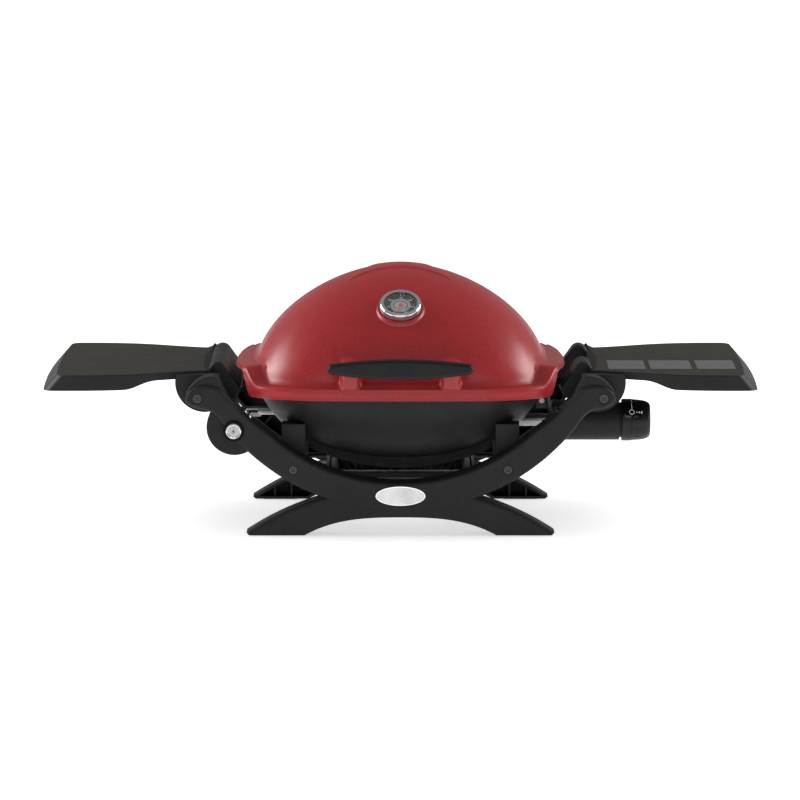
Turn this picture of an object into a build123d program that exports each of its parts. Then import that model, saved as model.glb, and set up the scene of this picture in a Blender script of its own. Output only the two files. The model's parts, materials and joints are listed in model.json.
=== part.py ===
from build123d import *
import os
from math import atan2, cos, degrees, pi, radians, sin, sqrt

os.makedirs("parts", exist_ok=True)

# Millimetres. +X is the cook's right, -Y is the front, +Z is up, z = 0 is the table top.

# ---- frame: two arched side frames, front and rear ----
FRAME_FACE_Y = 172.0  # outer face of each arched frame
FRAME_DEPTH = 38.0
FRAME_INNER_Y = FRAME_FACE_Y - FRAME_DEPTH
WALL = 4.5
ARCH_CENTRE_Z = 359.5
ARCH_R_OUT = 323.0
ARCH_R_IN = 282.0
INNER_END, OUTER_END = 41.0, 48.5  # where the arch leaves its circles for the hinge lobe
LOBE = (
    (222.5, 177.0),
    (248.0, 203.5),
    (261.0, 215.0),
    (278.0, 220.8),
    (294.0, 218.4),
    (305.5, 211.0),
    (310.8, 201.0),
    (303.0, 190.5),
    (288.0, 185.5),
    (274.0, 182.0),
    (263.0, 172.0),
)
FOOT_R = 402.0
FOOT_CENTRE_Z = -330.0
FOOT_TIP_X = 223.0
FOOT_FLAT_X = 141.0
SOLE_Z = 1.0  # the feet stand on rubber pads this much proud of them
CROSS_X, CROSS_Z = 155.3, 97.0  # screws that hold the cross members
CROSS_HALF = 17.0
COOKBOX_BOLT_Y = 20.0
PIVOT_X, PIVOT_Z = 293.2, 201.2  # side table hinge
BOLT_R = 4.0
BUSH_R = 6.5
RUNNING = 0.08  # radial clearance of everything that turns
SEAT_Y = FRAME_FACE_Y - 4.0  # where screw heads seat in the frames

# ---- cookbox and lid ----
RIM_Z = 205.0
RIM_A, RIM_B, RIM_N = 227.0, 178.0, 3.4
BOWL_A, BOWL_B = 207.0, 166.0
BOWL_TOP_Z, BOWL_DEPTH = 200.0, 114.0
CAST = 4.0  # casting thickness
BOWL_FLOOR_Z = 90.0
SKIRT_A, SKIRT_B, SKIRT_N = 240.0, 191.0, 3.9
SKIRT_BOTTOM, SKIRT_TOP = 200.5, 218.0
EAR_TOP, EAR_BOTTOM = 244.0, 236.5  # the raised sides that clear the side tables
DOME_A, DOME_B = 216.0, 172.0
DOME_N, DOME_ROUNDING = 4.0, 1.9  # squareness of the dome's foot, and how much of it is gone at the top
DOME_BASE, DOME_TOP = 218.0, 372.5
DOME_LEAN = 35.0  # how far the top sits behind the middle
HALF_DEPTH = 211.0  # handle face in front, hinge knuckles behind
KNUCKLE_R = 8.0
HINGE_Y, HINGE_Z = HALF_DEPTH - KNUCKLE_R, 207.0
HINGE_X = 75.0
PIN_R = 3.0

# ---- side tables ----
TABLE_TOP, TABLE_SKIN = 235.0, 4.0
TABLE_IN_X, TABLE_OUT_X = 276.0, 496.0
TABLE_FLARE = 19.5
FLANGE_DEEP_Z, FLANGE_SHALLOW_Z = 212.5, 224.0
EAR_FRONT_Y, EAR_BACK_Y = FRAME_INNER_Y - 0.8, FRAME_INNER_Y - 15.0
ARM_TOP, ARM_FOOT, ARM_R = (266.0, 232.0), (246.0, 204.0), 13.0
SHOULDER_SPANS = [(-103.0, 103.0)]
VALVE_SIDE_SPANS = [(-103.0, -40.0), (70.0, 103.0)]  # leaves room for the valve when folded

# ---- gas side ----
VALVE_Z = 143.5
HOUSING_R, KNOB_R = 29.7, 31.0
HOUSING_X0, HOUSING_X1, KNOB_X1 = 224.0, 323.5, 369.0
BRACKET_X, BRACKET_SCREW_X, BRACKET_Z = 221.0, 213.0, 152.0
INLET_X, INLET_R = 296.0, 12.2
INLET_TILT = 15.0
STEM_R = 4.0
KNOB_SEAM = 341.0

# ---- igniter ----
POD_X, POD_Z, POD_R = -239.9, 158.0, 40.5
BUTTON_X, BUTTON_Z, BUTTON_R = -240.7, 154.5, 11.0
BEZEL_R, MODULE_R, BATTERY_R = 15.5, 13.0, 7.2
NUT_ROOM_R = 21.5

# ---- thermometer ----
GAUGE_R, LENS_R = 30.5, 28.5
GAUGE_Z = 323.0
GAUGE_TILT = 58.0  # elevation of the gauge's face normal

# ---- catch pan ----
PAN_X, PAN_Y = 108.0, 74.0
PAN_TOP, PAN_BOTTOM = 78.0, 47.0


def plate(sketch, y0, y1):
    """A sketch drawn in (x, z), made solid from y0 to y1."""
    return extrude(Plane.XZ.offset(-y1) * sketch, amount=y1 - y0)


def plate_x(sketch, x0, x1):
    """A sketch drawn in (y, z), made solid from x0 to x1."""
    return extrude(Plane.YZ.offset(x0) * sketch, amount=x1 - x0)


def rod_x(x0, x1, y, z, r):
    return plate_x(Pos(y, z) * Circle(r), x0, x1)


def rod_y(y0, y1, x, z, r):
    return plate(Pos(x, z) * Circle(r), y0, y1)


def rod_z(z0, z1, x, y, r):
    return Pos(x, y, z0) * extrude(Circle(r), amount=z1 - z0)


def block(x0, x1, y0, y1, z0, z1):
    return Pos((x0 + x1) / 2, (y0 + y1) / 2, (z0 + z1) / 2) * Box(x1 - x0, y1 - y0, z1 - z0)


def both_x(shape):
    return [shape, mirror(shape, about=Plane.YZ)]


def both_y(shape):
    return [shape, mirror(shape, about=Plane.XZ)]


def join(shapes):
    whole = shapes[0]
    for shape in shapes[1:]:
        whole += shape
    return whole


def oval(a, b, n, z, y=0.0, count=28):
    """Closed superellipse wire |x/a|^n + |y/b|^n = 1 at height z."""
    points = []
    for k in range(count):
        t = 2 * pi * k / count
        c, s = cos(t), sin(t)
        r = (abs(c / a) ** n + abs(s / b) ** n) ** (-1 / n)
        points.append((r * c, y + r * s, z))
    return Wire([Edge.make_spline(points, periodic=True)])


def oval_prism(a, b, n, z0, z1):
    return Solid.extrude(Face(oval(a, b, n, z0)), Vector(0, 0, z1 - z0))


def dome_y(t):
    return DOME_LEAN * t**1.5


def dome_share(t):
    return (1 - t**1.72) ** 0.55


def dome(inset):
    """The lid's dome as a solid, its surface set in by inset."""
    wires = [oval(DOME_A - inset, DOME_B - inset, DOME_N, RIM_Z + 0.3)]
    for t in (0.0, 0.14, 0.3, 0.46, 0.61, 0.74, 0.845, 0.92, 0.965, 0.99):
        share = dome_share(t)
        z = DOME_BASE + (DOME_TOP - DOME_BASE) * t - inset * t
        a, b = DOME_A * share - inset * (1 - 0.5 * t), DOME_B * share - inset * (1 - 0.5 * t)
        wires.append(oval(a, b, DOME_N - DOME_ROUNDING * t, z, dome_y(t)))
    top = Vertex(0, dome_y(1.0), DOME_TOP - inset)
    return Solid.make_loft([*wires, top])


def bowl(inset):
    """The cookbox's bowl as a solid, its surface set in by inset."""
    wires = [oval(BOWL_A - inset, BOWL_B - inset, 3.2, BOWL_TOP_Z + 20)]
    for u in (0.0, 0.15, 0.32, 0.48, 0.63, 0.76, 0.86, 0.93, 0.965):
        share = (1 - u**1.6) ** 0.45
        a, b = BOWL_A * share - inset, BOWL_B * share - inset
        z = BOWL_TOP_Z - BOWL_DEPTH * u + inset * u
        wires.append(oval(a, b, 3.2 - 0.9 * u, z))
    return Solid.make_loft(wires)


# ------------------------------------------------------------------ frames


def arch_point(r, angle):
    """Point on a circle about the arch's centre, angle in degrees from straight down."""
    return (r * sin(radians(angle)), ARCH_CENTRE_Z - r * cos(radians(angle)))


def lobe_points(inset):
    """Points around the hinge lobe's outline, from the inner circle to the outer one."""
    heading_in = (cos(radians(INNER_END)), sin(radians(INNER_END)))
    heading_out = (-cos(radians(OUTER_END)), -sin(radians(OUTER_END)))
    outline = Edge.make_spline(
        [arch_point(ARCH_R_IN, INNER_END), *LOBE, arch_point(ARCH_R_OUT, OUTER_END)],
        tangents=[heading_in, heading_out],
    )
    points = []
    for k in range(1, 20):
        place, heading = outline.position_at(k / 20), outline.tangent_at(k / 20)
        points.append((place.X + inset * heading.Y, place.Y - inset * heading.X))
    return points, heading_in, heading_out


def arch_face(inset=0.0):
    """The U-shaped arch with its hinge lobes, drawn in (x, z)."""
    r_in, r_out = ARCH_R_IN + inset, ARCH_R_OUT - inset
    points, heading_in, heading_out = lobe_points(inset)
    with BuildSketch() as half:
        with BuildLine():
            ThreePointArc(*[arch_point(r_in, angle) for angle in (0, 20, INNER_END)])
            Spline(
                arch_point(r_in, INNER_END),
                *points,
                arch_point(r_out, OUTER_END),
                tangents=[heading_in, heading_out],
            )
            ThreePointArc(*[arch_point(r_out, angle) for angle in (OUTER_END, 20, 0)])
            Line(arch_point(r_out, 0), arch_point(r_in, 0))
        make_face()
    return half.sketch + mirror(half.sketch, about=Plane.YZ)


def feet_face():
    """The pair of feet, an upside-down arch, drawn in (x, z)."""
    tip_z = FOOT_CENTRE_Z + sqrt(FOOT_R**2 - FOOT_TIP_X**2)
    with BuildSketch() as feet:
        with BuildLine():
            ThreePointArc((-FOOT_TIP_X, tip_z), (0, FOOT_CENTRE_Z + FOOT_R), (FOOT_TIP_X, tip_z))
            Line((FOOT_TIP_X, tip_z), (FOOT_TIP_X - 5, 0))
            Line((FOOT_TIP_X - 5, 0), (FOOT_FLAT_X, 0))
            Spline((FOOT_FLAT_X, 0), (96, 18.5), (0, 27.5), (-96, 18.5), (-FOOT_FLAT_X, 0))
            Line((-FOOT_FLAT_X, 0), (5 - FOOT_TIP_X, 0))
            Line((5 - FOOT_TIP_X, 0), (-FOOT_TIP_X, tip_z))
        make_face()
    return feet.sketch


def feet_hollow_face():
    """The hollow inside the feet, drawn in (x, z)."""
    r = FOOT_R - WALL
    end_x = sqrt(r**2 - (WALL - FOOT_CENTRE_Z) ** 2)
    with BuildSketch() as hollow:
        with BuildLine():
            ThreePointArc((-end_x, WALL), (0, FOOT_CENTRE_Z + r), (end_x, WALL))
            Line((end_x, WALL), (FOOT_FLAT_X, WALL))
            Spline((FOOT_FLAT_X, WALL), (97, 23.5), (0, 32.0), (-97, 23.5), (-FOOT_FLAT_X, WALL))
            Line((-FOOT_FLAT_X, WALL), (-end_x, WALL))
        make_face()
    return hollow.sketch


def hood_face():
    """Cover above the right-hand hinge lobe, set back from the frame's face."""
    with BuildSketch() as hood:
        with BuildLine():
            ThreePointArc((309.8, 208.0), (293.0, 227.0), (268.5, 233.0))
            Line((268.5, 233.0), (263.5, 231.0))
            Line((263.5, 231.0), (250.6, 206.5))
            Line((250.6, 206.5), (280.0, 190.0))
            Line((280.0, 190.0), (309.8, 208.0))
        make_face()
    return hood.sketch


def softened(solid, radius, face_y, shortest=10.0):
    """The solid with the longer edges of its face at y = face_y rounded."""
    edges = solid.edges().filter_by_position(Axis.Y, face_y - 0.01, face_y + 0.01)
    return fillet([edge for edge in edges if edge.length > shortest], radius)


def frame_ribs():
    """Stiffening ribs inside the hollow frame."""
    y0, y1 = -FRAME_FACE_Y + WALL - 1, -FRAME_INNER_Y - 4
    ribs = []
    for angle in (-52, -40, -27, -13, 0, 13, 27, 40, 52):
        radial = Pos(0, (ARCH_R_OUT + ARCH_R_IN) / -2) * Rectangle(3, ARCH_R_OUT - ARCH_R_IN - 4)
        ribs.append(plate(Pos(0, ARCH_CENTRE_Z) * Rot(0, 0, angle) * radial, y0, y1))
    for x in (-190, -165, 165, 190):
        top = FOOT_CENTRE_Z + sqrt(FOOT_R**2 - x**2)
        ribs.append(block(x - 1.5, x + 1.5, y0, y1, 2, top - 3))
    return ribs


def frame(pod):
    """Front frame: hollow moulding, open towards the inside. The pod holds the igniter."""
    face_y, inner_y = -FRAME_FACE_Y, -FRAME_INNER_Y
    arch, feet, hood = arch_face(), feet_face(), hood_face()
    body = softened(plate(arch, face_y, inner_y), 5.0, face_y)
    body += softened(plate(feet, face_y + 2, inner_y), 6.0, face_y + 2, shortest=300.0)
    hoods = both_x(softened(plate(hood, face_y + 5, inner_y), 2.0, face_y + 5, shortest=0.0))
    body = join([body, *hoods])
    hollow = [plate(arch_face(WALL), face_y + WALL, inner_y)]
    hollow.append(plate(feet_hollow_face(), face_y + 2 + WALL, inner_y))
    if pod:
        drum = softened(rod_y(face_y + 7, inner_y, POD_X, POD_Z, POD_R), 3.0, face_y + 7)
        drum -= rod_y(face_y, inner_y + 1, 0, ARCH_CENTRE_Z, ARCH_R_IN + WALL)
        body += drum
        drum_hollow = rod_y(face_y + 7 + WALL, inner_y, POD_X, POD_Z, POD_R - WALL)
        hollow.append(drum_hollow - rod_y(face_y, inner_y + 1, 0, ARCH_CENTRE_Z, ARCH_R_IN + WALL))
    for cut in hollow:
        body -= cut
    bosses = []
    for side in (-1, 1):
        bosses.append(rod_y(face_y + 3, inner_y, side * CROSS_X, CROSS_Z, 10))
        bosses.append(rod_y(face_y + 3, inner_y, side * PIVOT_X, PIVOT_Z, 11))
    bosses.append(rod_y(face_y + 3, inner_y, BRACKET_SCREW_X, BRACKET_Z, 8))
    if pod:
        bosses.append(rod_y(face_y + 3, face_y + 24, BUTTON_X, BUTTON_Z, 19))
    body = join([body, *frame_ribs(), *bosses])
    for side in (-1, 1):
        for x, z, head in ((PIVOT_X, PIVOT_Z, 7.8), (CROSS_X, CROSS_Z, 7.0)):
            body -= rod_y(face_y - 1, inner_y + 1, side * x, z, BOLT_R)
            body -= rod_y(face_y - 1, -SEAT_Y, side * x, z, head)
    body -= rod_y(inner_y - 16, inner_y + 1, BRACKET_SCREW_X, BRACKET_Z, 2.0)
    if pod:
        body -= rod_y(face_y - 1, face_y + 14, BUTTON_X, BUTTON_Z, BEZEL_R)
        body -= rod_y(face_y, inner_y + 1, BUTTON_X, BUTTON_Z, MODULE_R)
        body -= rod_y(face_y + 24, inner_y + 1, BUTTON_X, BUTTON_Z, NUT_ROOM_R)
    for side in (-1, 1):
        body -= block(*sorted((side * 157, side * 207)), face_y + 9, inner_y - 3, -1, 3)
    return body - block(-330, 330, face_y - 1, inner_y + 1, -1, SOLE_Z)


def hex_nut(y0, y1, x, z, across):
    return plate(Pos(x, z) * RegularPolygon(across / 2, 6, major_radius=False), y0, y1)


def cross_screw(y_head, y_tip, x, z, head_r, side):
    """Screw along Y with a cross-recessed head. side is -1 for a head facing the front."""
    y_under = side * SEAT_Y
    screw = rod_y(*sorted((y_head, y_under)), x, z, head_r)
    screw += rod_y(*sorted((y_under, y_tip)), x, z, BOLT_R)
    y_slot = y_head - side * 1.8
    for turn in (45, 135):
        slot = Pos(x, z) * Rot(0, 0, turn) * Rectangle(head_r * 1.25, 1.5)
        screw -= plate(slot, *sorted((y_head, y_slot)))
    return screw


# ------------------------------------------------------------------ side parts between the frames


def cross_member(side):
    """Beam between the frames on one side (-1 left, 1 right). Its posts carry the cookbox."""
    half = FRAME_INNER_Y
    x0, x1 = -CROSS_HALF, CROSS_HALF
    beam = block(x0, x1, -half, half, 88, 158)
    beam -= block(x0 + 4, x1 - 4, -half + 5, half - 5, 86, 112)
    for y0, y1 in ((-100, -30), (30, 100)):
        beam -= block(x0 - 1, x1 + 1, y0, y1, 126, 170)
    beam = Pos(side * CROSS_X, 0, 0) * beam
    beam -= bowl(-0.3)
    beam -= rod_x(*sorted((side * 100, side * 230)), 0, VALVE_Z, 11.0)
    for y in (-1, 1):
        beam -= rod_y(*sorted((y * 100, y * 140)), side * CROSS_X, CROSS_Z, BOLT_R)
        beam -= rod_z(100, 160, side * CROSS_X, y * COOKBOX_BOLT_Y, 3.0)
    return beam


def valve_bracket():
    """Steel plate between the frames that carries the valve and its housing."""
    half = FRAME_INNER_Y
    x0, x1 = BRACKET_X, HOUSING_X0
    bracket = block(x0, x1, -half, half, 138, 166)
    for y in (-1, 1):
        bracket += block(x0 - 16, x1, *sorted((y * half, y * (half - 3))), 140, 164)
        bracket -= rod_y(*sorted((y * 120, y * 140)), BRACKET_SCREW_X, BRACKET_Z, 2.0)
    return bracket - rod_x(x0 - 1, x1 + 1, 0, VALVE_Z, 10.5)


def bracket_screws():
    screws = []
    for y in (-1, 1):
        tip, seat, crown = y * (FRAME_INNER_Y + 12), y * (FRAME_INNER_Y - 3), y * (FRAME_INNER_Y - 5.4)
        shank = rod_y(*sorted((seat, tip)), BRACKET_SCREW_X, BRACKET_Z, 2.0)
        head = rod_y(*sorted((crown, seat)), BRACKET_SCREW_X, BRACKET_Z, 4.0)
        screws.append(shank + head)
    return screws


def pan_rail():
    """Front rail hung under the cross members. The catch pan's rim slides along it."""
    x_end = CROSS_X + CROSS_HALF
    rail = block(-x_end, x_end, -94, -77, 73.0, PAN_TOP - 2.1)
    rail += block(-x_end, x_end, -94, -91, 73.0, 79.5)
    for side in (-1, 1):
        x0, x1 = sorted((side * x_end, side * (x_end - 34)))
        rail += block(x0, x1, -94, -91, 73.0, 88.0)
        rail += block(x0, x1, -108, -91, 85.0, 88.0)
    return rail


# ------------------------------------------------------------------ cookbox


def lip_plate():
    """Curved apron under the front of the bowl, drawn in (x, z)."""
    with BuildSketch() as lip:
        with BuildLine():
            ThreePointArc((-133, 115), (0, 85.5), (133, 115))
            Line((133, 115), (133, 140))
            Line((133, 140), (-133, 140))
            Line((-133, 140), (-133, 115))
        make_face()
    return lip.sketch


def cookbox():
    body = oval_prism(RIM_A, RIM_B, RIM_N, RIM_Z - 5, RIM_Z)
    outer = bowl(0) - block(-300, 300, -300, 300, RIM_Z, 260)
    outer -= block(-300, 300, -300, 300, 60, BOWL_FLOOR_Z)
    body += outer
    body += rod_z(82.5, BOWL_FLOOR_Z + 2, 0, 0, 26)
    lips = both_y(plate(lip_plate(), -82, -74))
    body = join([body, *lips])
    for x in (-HINGE_X, HINGE_X):
        web = block(x - 7, x + 7, 150, HINGE_Y, 186, 199.5)
        knuckle = rod_x(x - 7, x + 7, HINGE_Y, HINGE_Z, KNUCKLE_R)
        neck = block(x - 7, x + 7, HINGE_Y - 6, HINGE_Y + 6, 192, HINGE_Z - 3)
        body = body + web + neck + knuckle
        body -= rod_x(x - 8, x + 8, HINGE_Y, HINGE_Z, PIN_R)
    cavity = bowl(CAST) - block(-300, 300, -300, 300, 60, BOWL_FLOOR_Z + CAST)
    body -= cavity
    body -= rod_z(80, 100, 0, 0, 21)
    ledge = oval_prism(BOWL_A + 4, BOWL_B + 4, 3.2, 176, 183)
    ledge -= oval_prism(BOWL_A - 20, BOWL_B - 20, 3.0, 170, 190)
    ledge = ledge & bowl(CAST - 1)
    for x0, x1 in ((-110, -45), (45, 110)):
        ledge -= block(x0, x1, -200, 200, 170, 190)
    ledge -= block(-220, 220, -80, -30, 170, 190)
    ledge -= block(-220, 220, 30, 80, 170, 190)
    body += ledge
    for x in (-CROSS_X, CROSS_X):
        for y in (-COOKBOX_BOLT_Y, COOKBOX_BOLT_Y):
            body += rod_z(118, 150, x, y, 7) & bowl(1.0)
            body -= rod_z(100, 145, x, y, 3.0)
    body -= rod_x(145, 220, 0, VALVE_Z, 10.5)
    body -= rod_x(-220, -160, 0, 160.0, 3.6)
    body -= rod_x(-220, -160, -30, 160.0, 4.1)
    return body


def grate():
    """Left half of the cast-iron cooking grate."""
    top, bottom = 195.0, 183.0
    inner_a, inner_b, n = BOWL_A - CAST - 8, BOWL_B - CAST - 8, 2.9
    outline = oval_prism(inner_a, inner_b, n, bottom, top)
    ring = outline - oval_prism(inner_a - 9, inner_b - 9, n, bottom - 1, top + 1)
    half = block(-inner_a - 5, -0.6, -200, 200, bottom - 2, top + 2)
    whole = ring + block(-9, -0.6, -inner_b + 4, inner_b - 4, bottom, top)
    pitch, wide = 17.2, 7.5
    for k in range(1, 12):
        x = -5 - k * pitch
        if abs(x) < inner_a - 8:
            with BuildSketch() as bar:
                with BuildLine():
                    Polyline(
                        (x - wide / 2 + 1.2, bottom),
                        (x + wide / 2 - 1.2, bottom),
                        (x + wide / 2, top),
                        (x - wide / 2, top),
                        close=True,
                    )
                make_face()
            whole += plate(bar.sketch, -inner_b, inner_b)
    for y in (-95, 0, 95):
        whole += block(-inner_a, -0.6, y - 3, y + 3, bottom, top - 4)
    return (whole & outline) & half


def burner():
    """Loop burner with its inlet tube through the right wall of the cookbox."""
    loop = Pos(0, 0, VALVE_Z) * RectangleRounded(250, 150, 50).wire()
    tube_r = 8.0
    start = loop @ 0
    section = Plane(origin=start, z_dir=loop % 0) * Circle(tube_r)
    ring = sweep(section, path=loop)
    ring += rod_x(125, 244, 0, VALVE_Z, 9.0)
    ring += rod_x(-118, 118, 0, VALVE_Z, 5.0)
    return ring


def burner_retainer():
    """Steel stub and cotter plate that hold the burner's far end in the left wall."""
    stub = rod_x(-238, -133, 0, 160.0, 3.5)
    hook = block(-139, -133, -4, 4, 151.5, 163)
    plate_out = block(-228, -206, -8, 8, 149.5, 156.2)
    return stub + hook + plate_out


# ------------------------------------------------------------------ lid


def rim_line(low, high, y_low, y_high):
    """Points of the lid's rim along Y: low in front and behind, raised at the sides."""
    rise, run = high - low, y_low - y_high
    steps = ((0.0, 0.0), (0.18, 0.07), (0.5, 0.5), (0.82, 0.93), (1.0, 1.0))
    half = [(y_low - run * across, low + rise * up) for across, up in steps]
    return [(-y, z) for y, z in half], [(y, z) for y, z in half[::-1]]


def crown_line(lift):
    """Everything under the lid's ledge, drawn in (y, z)."""
    front, back = rim_line(SKIRT_TOP + lift, EAR_TOP + lift, 150.0, 122.0)
    with BuildSketch() as shape:
        with BuildLine():
            Polyline((-150, SKIRT_TOP + lift), (-230, SKIRT_TOP + lift), (-230, 100), (230, 100))
            Polyline((230, 100), (230, SKIRT_TOP + lift), (150, SKIRT_TOP + lift))
            Spline(*front, tangents=[(1, 0), (1, 0)])
            Line(front[-1], back[0])
            Spline(*back, tangents=[(1, 0), (1, 0)])
        make_face()
    return shape.sketch


def side_opening():
    """What is cut below the raised sides, in (y, z)."""
    front, back = rim_line(SKIRT_BOTTOM, EAR_BOTTOM, 138.0, 112.0)
    with BuildSketch() as shape:
        with BuildLine():
            Spline(*front, tangents=[(1, 0), (1, 0)])
            Line(front[-1], back[0])
            Spline(*back, tangents=[(1, 0), (1, 0)])
            Polyline((138, SKIRT_BOTTOM), (138, 150), (-138, 150), (-138, SKIRT_BOTTOM))
        make_face()
    return shape.sketch


def gauge_plane():
    t = (GAUGE_Z - DOME_BASE) / (DOME_TOP - DOME_BASE)
    y = dome_y(t) - DOME_B * dome_share(t)
    tilt = radians(GAUGE_TILT)
    return Plane(origin=(0, y, GAUGE_Z), x_dir=(1, 0, 0), z_dir=(0, -cos(tilt), sin(tilt)))


def gauge_disc(r, z0, z1):
    return gauge_plane() * (Pos(0, 0, z0) * extrude(Circle(r), amount=z1 - z0))


def handle_boss():
    """Right-hand boss that carries the handle."""
    outline = Pos(72.5, 222.75) * Rectangle(25, 41.5) + Pos(72.5, 243.5) * Circle(12.5)
    return plate(outline, -191.0, -140)


def lid():
    body = oval_prism(SKIRT_A, SKIRT_B, SKIRT_N, SKIRT_BOTTOM, 275) & plate_x(crown_line(0), -260, 260)
    hollow = oval_prism(SKIRT_A - 5, SKIRT_B - 5, SKIRT_N, SKIRT_BOTTOM - 5, 270)
    body -= hollow & plate_x(crown_line(-CAST), -260, 260)
    body = join([body, dome(0), *both_x(handle_boss())])
    body += gauge_disc(GAUGE_R + 2.5, -14, 1.5)
    body -= dome(CAST)
    body += gauge_disc(12, -9.0, -1.0)
    body -= oval_prism(SKIRT_A - 5, SKIRT_B - 5, SKIRT_N, 190, RIM_Z + 0.3)
    tunnel = plate_x(side_opening(), -260, 260)
    keep = block(-150, 150, -230, 230, 150, 300)
    body -= tunnel - keep
    for x in (-HINGE_X, HINGE_X):
        for x0, x1 in ((x - 18, x - 7.6), (x + 7.6, x + 18)):
            arm = block(x0, x1, SKIRT_B - 4, HINGE_Y, HINGE_Z - 6, HINGE_Z + 6)
            knuckle = rod_x(x0, x1, HINGE_Y, HINGE_Z, KNUCKLE_R)
            body = body + arm + knuckle
            body -= rod_x(x0 - 0.1, x1 + 0.1, HINGE_Y, HINGE_Z, PIN_R + RUNNING)
    for x in (-72.5, 72.5):
        body -= rod_y(-200, -120, x, 248.4, 2.5)
        body -= rod_y(-157.0, -120, x, 248.4, 5.5)
    body -= gauge_disc(4.5, -60, 20)
    return body


def lid_handle():
    half, z = 104.5, 248.4
    with BuildSketch() as outline:
        with BuildLine():
            ThreePointArc((-half + 5, z + 7.5), (0, z + 14.5), (half - 5, z + 7.5))
            ThreePointArc((half - 5, z + 7.5), (half, z), (half - 5, z - 6.5))
            ThreePointArc((half - 5, z - 6.5), (0, z - 14.5), (-half + 5, z - 6.5))
            ThreePointArc((-half + 5, z - 6.5), (-half, z), (-half + 5, z + 7.5))
        make_face()
    bar = plate(outline.sketch, -HALF_DEPTH, -193.5)
    bar = softened(bar, 5.0, -HALF_DEPTH)
    bar = softened(bar, 2.5, -193.5)
    for x in (-72.5, 72.5):
        bar -= rod_y(-206, -190, x, z, 2.5)
    return bar


def handle_screws():
    """Two screws from inside the lid, through the bosses, into the handle."""
    return [rod_y(-206, -153, x, 248.4, 2.5) + rod_y(-157, -153, x, 248.4, 5.0) for x in (-72.5, 72.5)]


def handle_spacers():
    return [rod_y(-193.5, -191.0, x, 248.4, 9.0) - rod_y(-195, -190, x, 248.4, 2.5) for x in (-72.5, 72.5)]


def lid_hinge_pins():
    return [rod_x(x - 20, x + 20, HINGE_Y, HINGE_Z, PIN_R) for x in (-HINGE_X, HINGE_X)]


# ------------------------------------------------------------------ thermometer


def thermometer_case():
    cup = gauge_disc(GAUGE_R, 1.5, 8.0) - gauge_disc(GAUGE_R - 3.0, 4.0, 9.0)
    return cup - gauge_disc(2.0, 0, 5)


def thermometer_bezel():
    with BuildSketch(Plane.XZ) as section:
        with BuildLine():
            Line((LENS_R, 8.0), (GAUGE_R, 8.0))
            ThreePointArc((GAUGE_R, 8.0), (28.9, 10.9), (24.5, 10.8))
            Line((24.5, 10.8), (24.5, 9.2))
            Line((24.5, 9.2), (LENS_R, 9.2))
            Line((LENS_R, 9.2), (LENS_R, 8.0))
        make_face()
    return gauge_plane() * revolve(section.sketch, axis=Axis.Z)


def thermometer_needle():
    arrow = Polyline((-1.1, -5), (1.1, -5), (0.5, 19), (-0.5, 19), close=True)
    flat = extrude(make_face(arrow), amount=0.5)
    hub = extrude(Circle(2.6), amount=0.9)
    hub -= extrude(Circle(0.8 + RUNNING), amount=1.0)
    flat -= extrude(Circle(0.8 + RUNNING), amount=1.0)
    return gauge_plane() * (Pos(0, 0, 5.9) * Rot(0, 0, 170) * (flat + hub))


def thermometer_probe():
    """Stem through the lid with the needle's spindle on top."""
    stem = gauge_disc(3.2, -62, 1.5) + gauge_disc(2.0, 1.5, 5.2) + gauge_disc(0.8, 5.2, 7.3)
    return stem


# ------------------------------------------------------------------ side tables


def table_wire(z, inset, stretch, widen):
    """Plan outline of the right-hand table at height z."""
    x0, x1 = TABLE_IN_X + inset, TABLE_OUT_X + stretch - inset
    w = widen - inset
    edge = [(x0, 117 + w), (308, 124 + w), (352, 143.5 + w), (397, 160 + w), (440, 167 + w)]
    corner = (x1 - 16, 168 + w)
    end = (x1, 152 + w)
    with BuildLine() as line:
        Spline([(x, -y) for x, y in edge] + [(corner[0], -corner[1])])
        ThreePointArc(
            (corner[0], -corner[1]), (x1 - 4.7, -(end[1] + 11.3)), (end[0], -end[1])
        )
        ThreePointArc((end[0], -end[1]), (x1 + 4, 0), end)
        ThreePointArc(end, (x1 - 4.7, end[1] + 11.3), corner)
        Spline([corner] + edge[::-1])
        Line(edge[0], (edge[0][0], -edge[0][1]))
    return Pos(0, 0, z) * line.wires()[0]


def table_side_profile(z_shift):
    """The table seen from the front, in (x, z): deep outer flange, shallow inner one."""
    deep, shallow = FLANGE_DEEP_Z + z_shift, FLANGE_SHALLOW_Z + z_shift
    with BuildSketch() as shape:
        with BuildLine():
            Line((250, 260), (250, shallow))
            Line((250, shallow), (352, shallow))
            Spline((352, shallow), (376, (deep + shallow) / 2 + 0.6), (402, deep), tangents=((1, 0), (1, 0)))
            Line((402, deep), (540, deep))
            Line((540, deep), (540, 260))
            Line((540, 260), (250, 260))
        make_face()
    return shape.sketch


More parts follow.
